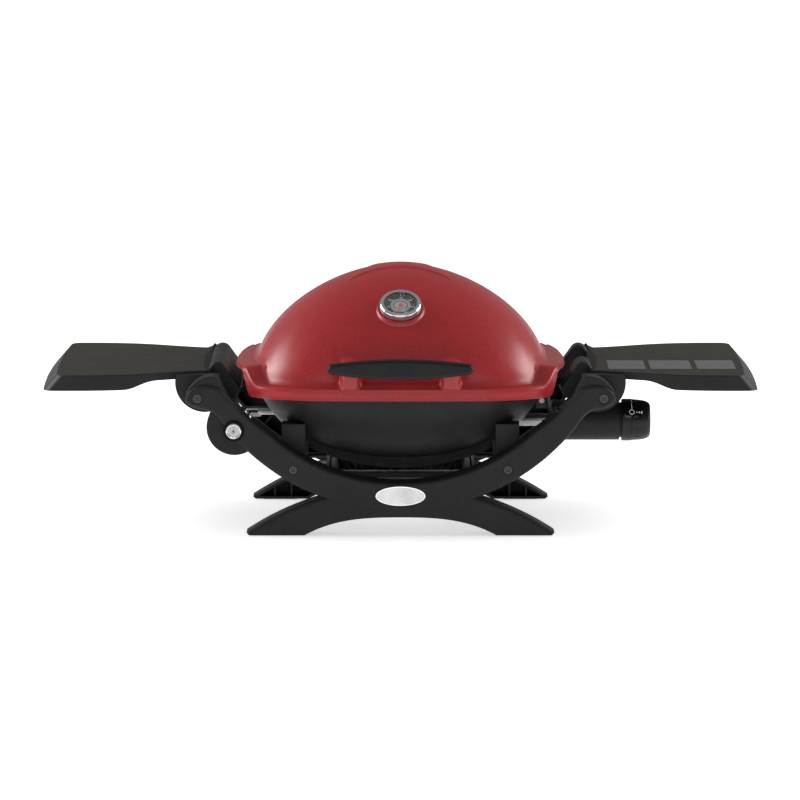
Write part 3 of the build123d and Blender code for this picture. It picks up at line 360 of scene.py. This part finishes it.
def piece(name, shape, material, body):
    """A new mesh piece from (points in millimetres, faces), riding on a body."""
    points, faces = shape
    mesh = bpy.data.meshes.new(name)
    mesh.from_pydata([tuple(MM * v for v in p) for p in points], [], faces)
    mesh.update()
    obj = bpy.data.objects.new(name, mesh)
    scene.collection.objects.link(obj)
    work = bmesh.new()
    work.from_mesh(mesh)
    bmesh.ops.recalc_face_normals(work, faces=work.faces)
    work.to_mesh(mesh)
    work.free()
    paint(obj, material)
    smooth(obj)
    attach(obj, body)
    return obj


def add_bevel(obj, width):
    """Rounds an object's sharp edges. The width is in millimetres."""
    bevel = obj.modifiers.new("rounded_edges", "BEVEL")
    bevel.width = width * MM
    bevel.segments = 2
    bevel.limit_method = "ANGLE"
    bevel.angle_limit = BEVEL_ABOVE


def thicken(obj, thickness):
    """Turns a single skin into a wall, inwards. The thickness is in millimetres."""
    wall = obj.modifiers.new("wall", "SOLIDIFY")
    wall.thickness = thickness * MM
    wall.offset = -1.0


def arc(start, end, steps):
    """Angles in radians from start to end degrees."""
    return [radians(start + (end - start) * k / steps) for k in range(steps + 1)]


def full_turn(count):
    return arc(0, 360, count)[:-1]


def band_faces(rows, columns):
    """Quads between closed rows of points."""
    faces = []
    for row in range(rows - 1):
        low, high = row * columns, (row + 1) * columns
        for k in range(columns):
            n = (k + 1) % columns
            faces.append((low + k, low + n, high + n, high + k))
    return faces


def close_at(centre, points, faces, columns):
    """Joins the last closed row of points to one centre point."""
    last = len(points) - columns
    points.append(centre)
    faces += [(last + k, last + (k + 1) % columns, len(points) - 1) for k in range(columns)]


def lathe(profile, count=72):
    """A profile of (radius, height) turned about the height axis, as points (x, y, height)."""
    angles = full_turn(count)
    points = [(r * cos(a), r * sin(a), h) for r, h in profile for a in angles]
    return points, band_faces(len(profile), count)


def prism(outline, low, high, axis="z"):
    """An outline in the other two axes, carried from low to high along axis."""
    turned = {
        "x": lambda u, v, w: (w, u, v),
        "y": lambda u, v, w: (u, w, v),
        "z": lambda u, v, w: (u, v, w),
    }[axis]
    count = len(outline)
    points = [turned(u, v, w) for w in (low, high) for u, v in outline]
    faces = [tuple(range(count)), tuple(range(2 * count - 1, count - 1, -1))]
    faces += [(k, (k + 1) % count, count + (k + 1) % count, count + k) for k in range(count)]
    return points, faces


def merged(parts):
    """Joins several (points, faces) into one."""
    points, faces = [], []
    for part_points, part_faces in parts:
        start = len(points)
        points += [tuple(p) for p in part_points]
        faces += [tuple(start + v for v in face) for face in part_faces]
    return points, faces


def oval_band(rings, x, z):
    """A closed ring between ovals, each (half width, half height, y), about (x, z)."""
    angles = full_turn(OVAL_STEPS)
    points = [(x + a * cos(t), y, z + b * sin(t)) for a, b, y in rings for t in angles]
    faces = band_faces(len(rings), OVAL_STEPS)
    last = (len(rings) - 1) * OVAL_STEPS
    for k in range(OVAL_STEPS):
        n = (k + 1) % OVAL_STEPS
        faces.append((last + k, last + n, n, k))
    return points, faces


def arc_band(inner, outer, start, end, steps=24):
    """Outline of the part of a flat ring that lies between two angles in degrees."""
    near = [(inner * cos(a), inner * sin(a)) for a in arc(start, end, steps)]
    far = [(outer * cos(a), outer * sin(a)) for a in arc(end, start, steps)]
    return near + far


def lettering(text, size, x, y, low, high):
    """Plain figures centred on (x, y), as a thin solid."""
    curve = bpy.data.curves.new("figures", "FONT")
    curve.body = text
    curve.size = size
    curve.align_x = "CENTER"
    curve.align_y = "CENTER"
    curve.resolution_u = 3
    curve.extrude = 0.5 * (high - low)
    shown = bpy.data.objects.new("figures", curve)
    mesh = shown.to_mesh()
    points = [(x + v.co.x, y + v.co.y, 0.5 * (low + high) + v.co.z) for v in mesh.vertices]
    faces = [tuple(polygon.vertices) for polygon in mesh.polygons]
    shown.to_mesh_clear()
    bpy.data.objects.remove(shown)
    bpy.data.curves.remove(curve)
    return points, faces


# ------------------------------------------------------------------ lid

# Outlines from above: half width, half depth and the power that makes the corners full.
SKIRT = (240.0, 191.0, 3.9)
DOME = (216.0, 172.0, 4.0)
DOME_BASE, DOME_TOP = 218.0, 372.5
DOME_FALL, DOME_SWELL = 1.72, 0.55  # powers of the dome's side view
DOME_LEAN, LEAN_POWER = 35.0, 1.5  # the dome's top lies this far behind the middle
DOME_SOFTENING = 1.9  # how much the outline's power falls towards the top
DOME_ROWS_SPREAD = 1.75  # packs the dome's rows of points closer near its top
LEDGE, EAR_RISE = 218.0, 24.0  # the ledge round the dome, and its rise at the sides
RIM, RIM_RISE = 200.6, 36.0  # the lower edge, and its rise at the sides
EAR_ENDS, RIM_ENDS = (118.0, 148.0), (112.0, 138.0)  # depths between which the rises end
EAR_INSET, INSET_FULL_Y = 13.0, 122.0  # how far, and from where, the sides draw in at the rear
EAR_LEAST_WIDTH = 17.0
# (outwards, up) from the lower edge, from the ledge's outer edge and from the dome's foot.
RIM_LIP = ((0.6, 0.0), (0.0, 1.4), (-0.4, 5.0), (-0.8, 10.0))
LEDGE_OUTER = ((-2.2, -1.6), (-5.5, 0.0))
LEDGE_INNER = ((9.0, 0.0), (4.0, 0.7), (1.2, 3.2))
LIP_ROOM = 11.0  # height that the lip needs
SIDE_TOP_DROP = 4.5  # where the side starts to round over into the ledge
FOOT_RISE = 7.5  # the dome's first row above the ledge
CROWN_RISE, CROWN_HALF_WIDTH, CROWN_TAPER = 1.8, 72.0, 0.55
CROWN_FRONT, CROWN_BOW = 8.0, 22.0  # the front edge's y, and how far its ends curve forward
CROWN_FADES = (84.0, 96.0)  # depths between which the panel runs out
CROWN_LOWEST, CROWN_SOFT = 300.0, 2.5
BOSS_X, BOSS_HALF, BOSS_TOP, BOSS_FACE = 72.5, 12.5, 256.0, -190.6
BOSS_ZONE = (217.0, 270.0)  # heights that a boss can reach
BOSS_ROUNDING = 7.0  # how far the top of a boss falls at its sides
LID_WALL = 3.6
HINGE_X, HINGE_Y, HINGE_Z, HINGE_R = 75.0, 203.0, 207.0, 8.0


def superellipse(angle, a, b, n):
    """Radius at an angle."""
    return ((abs(cos(angle)) / a) ** n + (abs(sin(angle)) / b) ** n) ** (-1 / n)


def ramp(value, low, high):
    """Smooth step from 0 at low to 1 at high."""
    t = min(1.0, max(0.0, (value - low) / (high - low)))
    return t * t * (3 - 2 * t)


def raised(y, flat, end):
    """1 where the lid's rim is raised at the sides, 0 in front and behind."""
    return 1.0 - ramp(abs(y), flat, end)


def dome_share(z):
    return (z - DOME_BASE) / (DOME_TOP - DOME_BASE)


def dome_point(angle, t):
    """Point on the dome at an angle, with t from 0 at its base to 1 at its top."""
    never_zero = 1e-6
    share = (1 - min(1.0, t) ** DOME_FALL) ** DOME_SWELL
    a, b, n = DOME
    r = superellipse(angle, a * share + never_zero, b * share + never_zero, n - DOME_SOFTENING * t)
    x, y = r * cos(angle), DOME_LEAN * t**LEAN_POWER + r * sin(angle)
    return [x, y, DOME_BASE + (DOME_TOP - DOME_BASE) * t]


def crown(point):
    """Height of the raised panel on top of the lid, which narrows towards the rear."""
    x, y, z = point
    if z < CROWN_LOWEST:
        return 0.0
    half = CROWN_HALF_WIDTH - CROWN_TAPER * (y + 10)
    front = CROWN_FRONT - CROWN_BOW * (x / CROWN_HALF_WIDTH) ** 2
    across = 1 - ramp(abs(x), half - CROWN_SOFT, half + CROWN_SOFT)
    along = ramp(y, front - CROWN_SOFT, front + CROWN_SOFT) * (1 - ramp(y, *CROWN_FADES))
    return CROWN_RISE * across * along


def boss(point):
    """Pushes the lid's front out where the handle is fixed, and returns the new y."""
    x, y, z = point
    lowest, highest = BOSS_ZONE
    if y > 0 or not lowest < z < highest or y < BOSS_FACE:
        return y
    off_centre = abs(abs(x) - BOSS_X)
    across = 1 - ramp(off_centre, BOSS_HALF - 2.5, BOSS_HALF + 3.0)
    roundness = min(1.0, off_centre / (BOSS_HALF + 1.0))
    top = BOSS_TOP - BOSS_ROUNDING * (1 - math.sqrt(1 - roundness**2))
    up = 1 - ramp(z, top - 5.0, top + 3.0)
    return y + (BOSS_FACE - y) * across * up


def ledge_column(angle):
    """The lid's rim, side and ledge at one angle, from the lower inside edge to the dome's foot."""
    outer = superellipse(angle, *SKIRT)
    y_middle = 0.5 * (outer + superellipse(angle, *DOME)) * sin(angle)
    low = RIM + RIM_RISE * raised(y_middle, *RIM_ENDS)
    ear = raised(y_middle, *EAR_ENDS)
    top = LEDGE + EAR_RISE * ear
    foot = dome_point(angle, dome_share(top))
    inner = math.hypot(foot[0], foot[1])
    room = max(0.0, outer - inner - EAR_LEAST_WIDTH)
    inset = min(EAR_INSET, room) * ramp(outer * sin(angle), 0.0, INSET_FULL_Y) * ear
    squeeze = min(1.0, (top - SIDE_TOP_DROP - low) / LIP_ROOM)
    side = outer - 0.6 * inset
    profile = [(side - 2.5, low + squeeze)]
    profile += [(side + out, low + up * squeeze) for out, up in RIM_LIP]
    profile.append((outer - 0.85 * inset - 1.2, top - SIDE_TOP_DROP))
    profile += [(outer - inset + out, top + up) for out, up in LEDGE_OUTER]
    profile += [(inner + out, top + up) for out, up in LEDGE_INNER]
    # The dome leans, so its foot lies at a slightly other angle than the rim does.
    turn = (math.atan2(foot[1], foot[0]) - angle + pi) % (2 * pi) - pi
    column = []
    for r, z in profile:
        heading = angle + turn * (outer - r) / (outer - inner)
        column.append([r * cos(heading), r * sin(heading), z])
    return column, top


def lid_mesh(columns=520, dome_rows=70):
    made = []
    for k in range(columns):
        angle = 2 * pi * k / columns
        column, top = ledge_column(angle)
        foot = dome_share(top + FOOT_RISE)
        for j in range(dome_rows):
            share = 1 - 0.985 * j / (dome_rows - 1)
            column.append(dome_point(angle, 1 - (1 - foot) * share**DOME_ROWS_SPREAD))
        for point in column:
            point[2] += crown(point)
            point[1] = boss(point)
        made.append(column)
    rows = len(made[0])
    points = [column[row] for row in range(rows) for column in made]
    faces = band_faces(rows, columns)
    close_at([0.0, DOME_LEAN, DOME_TOP + CROWN_RISE], points, faces, columns)
    return points, faces


def hinge_lugs():
    """Two pairs of arms with round ends behind the lid, for the hinge pins."""
    root_y, root_top, root_bottom = 186.0, 212.5, 201.0
    near, far = 7.6, 18.0
    outline = [(root_y, root_top), (196.0, 214.0)]
    outline += [(HINGE_Y + HINGE_R * cos(a), HINGE_Z + HINGE_R * sin(a)) for a in arc(110, -90, 18)]
    outline.append((root_y, root_bottom))
    parts = []
    for x in (-HINGE_X, HINGE_X):
        for x0, x1 in ((x - far, x - near), (x + near, x + far)):
            parts.append(prism(outline, x0, x1, "x"))
    return merged(parts)


lid_shell = piece("lid_casting", lid_mesh(), "red_enamel", "lid_assembly")
thicken(lid_shell, LID_WALL)
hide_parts("lid")

lugs = piece("lid_hinge_lugs", hinge_lugs(), "red_enamel", "lid_assembly")
add_bevel(lugs, 1.2)

# ------------------------------------------------------------------ thermometer

GAUGE_Z, GAUGE_TILT = 323.0, radians(58)
GAUGE = Vector(dome_point(-pi / 2, dome_share(GAUGE_Z)))
GAUGE_NORMAL = Vector((0.0, -cos(GAUGE_TILT), sin(GAUGE_TILT)))
GAUGE_UP = Vector((0.0, sin(GAUGE_TILT), cos(GAUGE_TILT)))

DIAL_FACE, PRINT_TOP = 5.02, 5.16  # heights above the lid
SCALE_START = 240.0  # degrees, at the figure 0
FIGURES = ("0", "50", "100", "150", "200", "250", "300")
DEGREES_PER_FIGURE = 50.0
TICKS_PER_FIGURE = 4
TICK_OUTER = 25.6
LONG_TICK = (20.6, 0.38)  # inner radius and half width
SHORT_TICK = (22.8, 0.2)
FIGURE_RADIUS, FIGURE_SIZE = 17.9, 4.2
INNER_SCALE = (9.2, 10.6, 235, -55)  # inner and outer radius, first and last angle
HOT_BAND = (25.9, 27.2, 15, -60)
CENTRE_DISC = ((0.9, 5.02), (14.6, 5.02), (14.9, 5.2), (14.6, 5.3), (0.9, 5.3), (0.9, 5.02))
SEAT = (
    (31.0, -7.0), (31.0, 0.7), (31.6, 1.2), (33.0, 0.9),
    (34.6, -0.2), (36.6, -2.4), (38.0, -7.0), (31.0, -7.0),
)


def dial_ticks():
    parts = []
    for k in range((len(FIGURES) - 1) * TICKS_PER_FIGURE + 1):
        a = radians(SCALE_START - DEGREES_PER_FIGURE / TICKS_PER_FIGURE * k)
        inner, half = SHORT_TICK if k % TICKS_PER_FIGURE else LONG_TICK
        along, across = Vector((cos(a), sin(a))), Vector((-sin(a), cos(a))) * half
        corners = [along * r + across * side
                   for r, side in ((inner, -1), (TICK_OUTER, -1), (TICK_OUTER, 1), (inner, 1))]
        parts.append(prism([tuple(corner) for corner in corners], DIAL_FACE, PRINT_TOP))
    return parts


def dial_numbers():
    parts = []
    for k, label in enumerate(FIGURES):
        a = radians(SCALE_START - DEGREES_PER_FIGURE * k)
        x, y = FIGURE_RADIUS * cos(a), FIGURE_RADIUS * sin(a)
        parts.append(lettering(label, FIGURE_SIZE, x, y, DIAL_FACE, PRINT_TOP))
    return parts


def gauge_piece(name, shape, material):
    """A piece drawn as (right, up, height above the lid) on the dial."""
    points, faces = shape
    placed = [GAUGE + Vector((x, 0, 0)) + GAUGE_UP * y + GAUGE_NORMAL * h for x, y, h in points]
    piece(name, (placed, faces), material, "lid_assembly")


inner_scale = prism(arc_band(*INNER_SCALE), 5.32, 5.42)
hot_band = prism(arc_band(*HOT_BAND), DIAL_FACE, 5.2)
gauge_piece("dial_marks", merged(dial_ticks() + dial_numbers()), "print_white")
gauge_piece("dial_centre", lathe(CENTRE_DISC), "gauge_disc")
gauge_piece("dial_inner_scale", inner_scale, "print_dark")
gauge_piece("dial_hot_band", hot_band, "needle_red")
gauge_piece("gauge_seat", lathe(SEAT, count=96), "red_enamel")

# ------------------------------------------------------------------ handle, badge and button

HANDLE_Z, HANDLE_FACE_Y = 248.4, -210.6
BADGE_Z, BADGE_Y = 59.3, -172.0
BUTTON_X, BUTTON_Z, BUTTON_Y = -240.7, 154.5, -172.0
RING_PROFILE = ((8.8, 4.6), (9.0, 5.5), (10.0, 5.9), (10.8, 5.2), (10.95, 3.4), (8.8, 4.6))
SPARK_DEPTHS = (-177.25, -176.95)
SPARK = ((0.6, 4.4), (-1.9, -0.5), (-0.2, -0.5), (-0.8, -4.4), (1.9, 0.7), (0.2, 0.7))


def raised_oval(half_width, half_height, z, back, rise, slope, width):
    """An oval band that stands forward of a face at y = back, with sloped sides."""
    steps = ((0.0, 0.0), (slope, rise), (width - slope, rise), (width, 0.0))
    rings = [(half_width - step, half_height - step, back - up) for step, up in steps]
    return oval_band(rings, 0.0, z)


def button_ring():
    """Bright ring round the igniter button's face."""
    points, faces = lathe(RING_PROFILE)
    return [(BUTTON_X + x, BUTTON_Y - h, BUTTON_Z + y) for x, y, h in points], faces


def button_spark():
    """Small spark sign on the igniter button."""
    return prism([(BUTTON_X + x, BUTTON_Z + z) for x, z in SPARK], *SPARK_DEPTHS, "y")


handle_oval = raised_oval(17.0, 7.4, HANDLE_Z, HANDLE_FACE_Y, rise=0.85, slope=0.4, width=1.5)
badge_rim = raised_oval(36.1, 14.2, BADGE_Z, BADGE_Y, rise=1.9, slope=0.2, width=1.7)
piece("handle_oval", handle_oval, "handle_nylon", "lid_assembly")
piece("badge_rim", badge_rim, "gauge_chrome", "base")
piece("button_ring", button_ring(), "gauge_chrome", "button")
piece("button_spark", button_spark(), "print_dark", "button")

# ------------------------------------------------------------------ knob

KNOB_Z = 143.5
KNOB_PROFILE = ((326.8, 31.0), (341.0, 31.0), (342.0, 30.5), (353.0, 29.5), (363.5, 27.4), (367.8, 24.5))
LABEL_LIFT, MARK_LIFT = 0.28, 0.42  # how far the label and the marks stand off the knob
PATCH_DEPTH = 1.2
LABEL_START, LABEL_LENGTH = 327.3, 35.7
LABEL_LOW, LABEL_CORNER, LABEL_HIGH = 15.0, 9.0, 100.0  # degrees round the knob
RING_X, MARK_TURN = 341.0, 30.4  # the marks' place: x, and degrees round the knob
BAR_X, BAR_STEP, BAR_WIDTH = 347.5, 3.6, 2.2
SPIGOT = ((10.5, 322.5), (26.0, 322.5), (26.0, 332.0), (25.0, 333.5), (11.0, 333.5), (10.5, 322.5))


def knob_radius(x):
    for (x0, r0), (x1, r1) in zip(KNOB_PROFILE, KNOB_PROFILE[1:]):
        if x <= x1:
            return r0 + (r1 - r0) * max(0.0, x - x0) / (x1 - x0)
    return KNOB_PROFILE[-1][1]


def on_knob(outline, lift):
    """Points above the knob's skin, from (x, degrees round the knob from the front up)."""
    points = []
    for x, turn in outline:
        r = knob_radius(x) + lift
        points.append((x, -r * cos(radians(turn)), KNOB_Z + r * sin(radians(turn))))
    return points


def strip(edge_a, edge_b, lift):
    """A closed patch between two edges with the same number of (x, degrees) points."""
    count = len(edge_a)
    outline = edge_a + edge_b
    points = on_knob(outline, lift) + on_knob(outline, lift - PATCH_DEPTH)
    faces = []
    for k in range(count - 1):
        faces.append((k, k + 1, count + k + 1, count + k))
        faces.append(tuple(2 * count + v for v in (count + k, count + k + 1, k + 1, k)))
    loop = list(range(count)) + list(range(2 * count - 1, count - 1, -1))
    for v, w in zip(loop, loop[1:] + loop[:1]):
        faces.append((v, w, 2 * count + w, 2 * count + v))
    return points, faces


def knob_label():
    """Glossy label round the knob's upper front, with a rounded corner at its start."""
    columns, rows, corner_columns = 24, 16, 5
    low = []
    for k in range(columns + 1):
        corner = (1 - min(1.0, k / corner_columns)) ** 2
        low.append((LABEL_START + LABEL_LENGTH * k / columns, LABEL_LOW + LABEL_CORNER * corner))
    lines = [[(x, turn + (LABEL_HIGH - turn) * j / rows) for x, turn in low] for j in range(rows + 1)]
    return merged([strip(first, second, LABEL_LIFT) for first, second in zip(lines, lines[1:])])


def mark_ring(along, round_knob):
    return [(RING_X + along * cos(a), MARK_TURN + round_knob * sin(a)) for a in arc(0, 360, 36)]


def knob_marks():
    """A line that ends in a small ring, and four growing bars beside it."""
    turns = range(38, 96, 3)
    parts = [strip([(340.6, a) for a in turns], [(341.5, a) for a in turns], MARK_LIFT)]
    parts.append(strip(mark_ring(4.0, 7.4), mark_ring(3.0, 5.6), MARK_LIFT))
    for k in range(4):
        x0, half = BAR_X + BAR_STEP * k, 1.6 + 0.9 * k
        x1, low, high = x0 + BAR_WIDTH, MARK_TURN - half, MARK_TURN + half
        parts.append(strip([(x0, low), (x0, high)], [(x1, low), (x1, high)], MARK_LIFT))
    return merged(parts)


def housing_spigot():
    """Dark ring on the valve housing's end, which closes the gap behind the knob."""
    points, faces = lathe(SPIGOT)
    return [(h, x, KNOB_Z + y) for x, y, h in points], faces


piece("knob_label", knob_label(), "gloss_black", "knob")
piece("knob_marks", knob_marks(), "print_white", "knob")
piece("housing_spigot", housing_spigot(), "frame_nylon", "base")

# ------------------------------------------------------------------ stops behind the tables

# Each row is the inner x, the outer x, the front y, the rear y and the height.
STOP_ROWS = (
    (271.0, 285.0, 102.0, 118.0, 228.0),
    (271.5, 284.0, 103.0, 117.0, 234.0),
    (274.0, 281.5, 105.0, 114.0, 238.5),
    (277.5, 279.0, 108.0, 110.0, 242.5),
)


def table_stop(side):
    """Short pointed stop that rises from the inner rear corner of a table."""
    points = []
    for x0, x1, y0, y1, z in STOP_ROWS:
        points += [(side * x0, y0, z), (side * x1, y0, z), (side * x1, y1, z), (side * x0, y1, z)]
    faces = band_faces(len(STOP_ROWS), 4) + [(0, 1, 2, 3), (12, 13, 14, 15)]
    return points, faces


for side, body in ((1, "right_table"), (-1, "left_table")):
    stop = piece(f"{body}_stop", table_stop(side), "table_skirt", body)
    add_bevel(stop, 1.0)

# ------------------------------------------------------------------ foil pan

FOIL_WALL = 0.35
PAN_OUTLINE = (103.0, 69.0, 7.0)  # half width, half depth and power of the rim's inner edge
PAN_FLOOR = 50.9
PLEATS, PLEAT_DEPTH = 72, 0.75
WRINKLE_SIZE, WRINKLE_DEPTH = 0.12, 0.5
# Each level is (height, step outwards from the outline): rolled rim, sloping side, flat floor.
PAN_RIM = [(78.0, 0.0), (79.2, -0.4), (79.8, -1.6), (79.4, -4.6), (77.4, -5.4)]
SIDE_ROWS = 12
PAN_SIDE = [(77.4 - 26.2 * k / SIDE_ROWS, -5.4 - 12.4 * k / SIDE_ROWS) for k in range(1, SIDE_ROWS + 1)]
PAN_BOTTOM = [(51.0, -22.0), (PAN_FLOOR, -34.0), (PAN_FLOOR, -48.0), (PAN_FLOOR, -60.0)]


def pleating(z):
    """Share of the pleats' depth: full on the sides, slight on the rim, none on the floor."""
    if 51.5 < z < 77.5:
        return 1.0
    return 0.25 if z > 77 else 0.0


def foil_pan(columns=360):
    """Thin pressed foil: pleated sides, a rolled rim and a wrinkled floor."""
    a, b, n = PAN_OUTLINE
    levels = PAN_RIM + PAN_SIDE + PAN_BOTTOM
    points = []
    for z, step in levels:
        for k in range(columns):
            angle = 2 * pi * k / columns
            out = step + PLEAT_DEPTH * sin(angle * PLEATS) * pleating(z)
            r = superellipse(angle, a + out, b + out, n)
            x, y = r * cos(angle), r * sin(angle)
            wrinkle = noise.noise(Vector((x, y, 3.0 * z)) * WRINKLE_SIZE)
            points.append((x, y, z + WRINKLE_DEPTH * wrinkle))
    faces = band_faces(len(levels), columns)
    close_at((0.0, 0.0, PAN_FLOOR), points, faces, columns)
    return points, faces


foil_tray = piece("foil_tray", foil_pan(), "foil", "pan")
thicken(foil_tray, FOIL_WALL)
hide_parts("drip_pan")

# ------------------------------------------------------------------ stage, light and camera

FLOOR_SIZE = 90.0
PAINTED_SHADOW_GLOW, FAR_GLOW = 0.56, 0.79  # the floor's glow under the grill, dimmed there as a painted shadow, and far from it
PAINTED_SHADOW_FADES = (0.25, 0.9)  # metres from the middle, over which the painted shadow fades out
SKY_STRENGTH = 0.29
CAMERA_PLACE = (0.0, -6.646, 1.2076)
CAMERA_AIM = (0.0, 0.0, 0.173)


def floor_white():
    """Pale glowing floor that ends in white; under the grill its glow is dimmed as a painted shadow."""
    g = Graph("floor_white")
    g.set(Base_Color=(0.8, 0.8, 0.8, 1.0), Roughness=0.6, Specular_IOR_Level=0.2)
    g.set(Emission_Color=(1.0, 1.0, 1.0, 1.0))
    reach = g.node("ShaderNodeVectorMath", Vector=g.stretched(1.0, 1.5, 1.0))
    reach.operation = "LENGTH"
    # painted shadow: the floor glows less near the grill
    glow_with_painted_shadow = g.span(reach.outputs["Value"], *PAINTED_SHADOW_FADES, PAINTED_SHADOW_GLOW, FAR_GLOW)
    g.link(glow_with_painted_shadow, "Emission Strength")
    return g.material


def white_world():
    world = bpy.data.worlds.new("studio")
    world.use_nodes = True
    background = world.node_tree.nodes["Background"]
    background.inputs["Color"].default_value = (1.0, 1.0, 1.0, 1.0)
    background.inputs["Strength"].default_value = SKY_STRENGTH
    return world


def aim(obj, place, target):
    """Puts a lamp or a camera at a place, looking at a target."""
    obj.location = place
    obj.rotation_mode = "QUATERNION"
    obj.rotation_quaternion = (Vector(target) - Vector(place)).to_track_quat("-Z", "Y")
    scene.collection.objects.link(obj)


def softbox(name, place, target, size, power):
    light = bpy.data.lights.new(name, "AREA")
    light.shape = "RECTANGLE"
    light.size, light.size_y = size
    light.energy = power
    aim(bpy.data.objects.new(name, light), place, target)


def add_camera():
    lens = bpy.data.cameras.new("camera")
    lens.lens = 204.66
    lens.sensor_width = 36.0
    lens.shift_x = -0.0006
    lens.clip_end = 200.0
    camera = bpy.data.objects.new("camera", lens)
    aim(camera, CAMERA_PLACE, CAMERA_AIM)
    scene.camera = camera


bpy.ops.mesh.primitive_plane_add(size=FLOOR_SIZE, location=(0, 0, 0))
floor = bpy.context.object
floor.name = "floor"
floor.data.materials.append(floor_white())

scene.world = white_world()
softbox("left_box", (-2.65, 0.4, 1.5), (0, 0, 0.25), (1.8, 1.8), 80.0)
softbox("right_box", (2.65, 0.4, 1.5), (0, 0, 0.25), (1.8, 1.8), 70.0)
softbox("front_box", (0, -4.6, 2.4), (0, 0, 0.2), (3.0, 1.4), 16.0)
add_camera()
scene.view_settings.view_transform = "Standard"
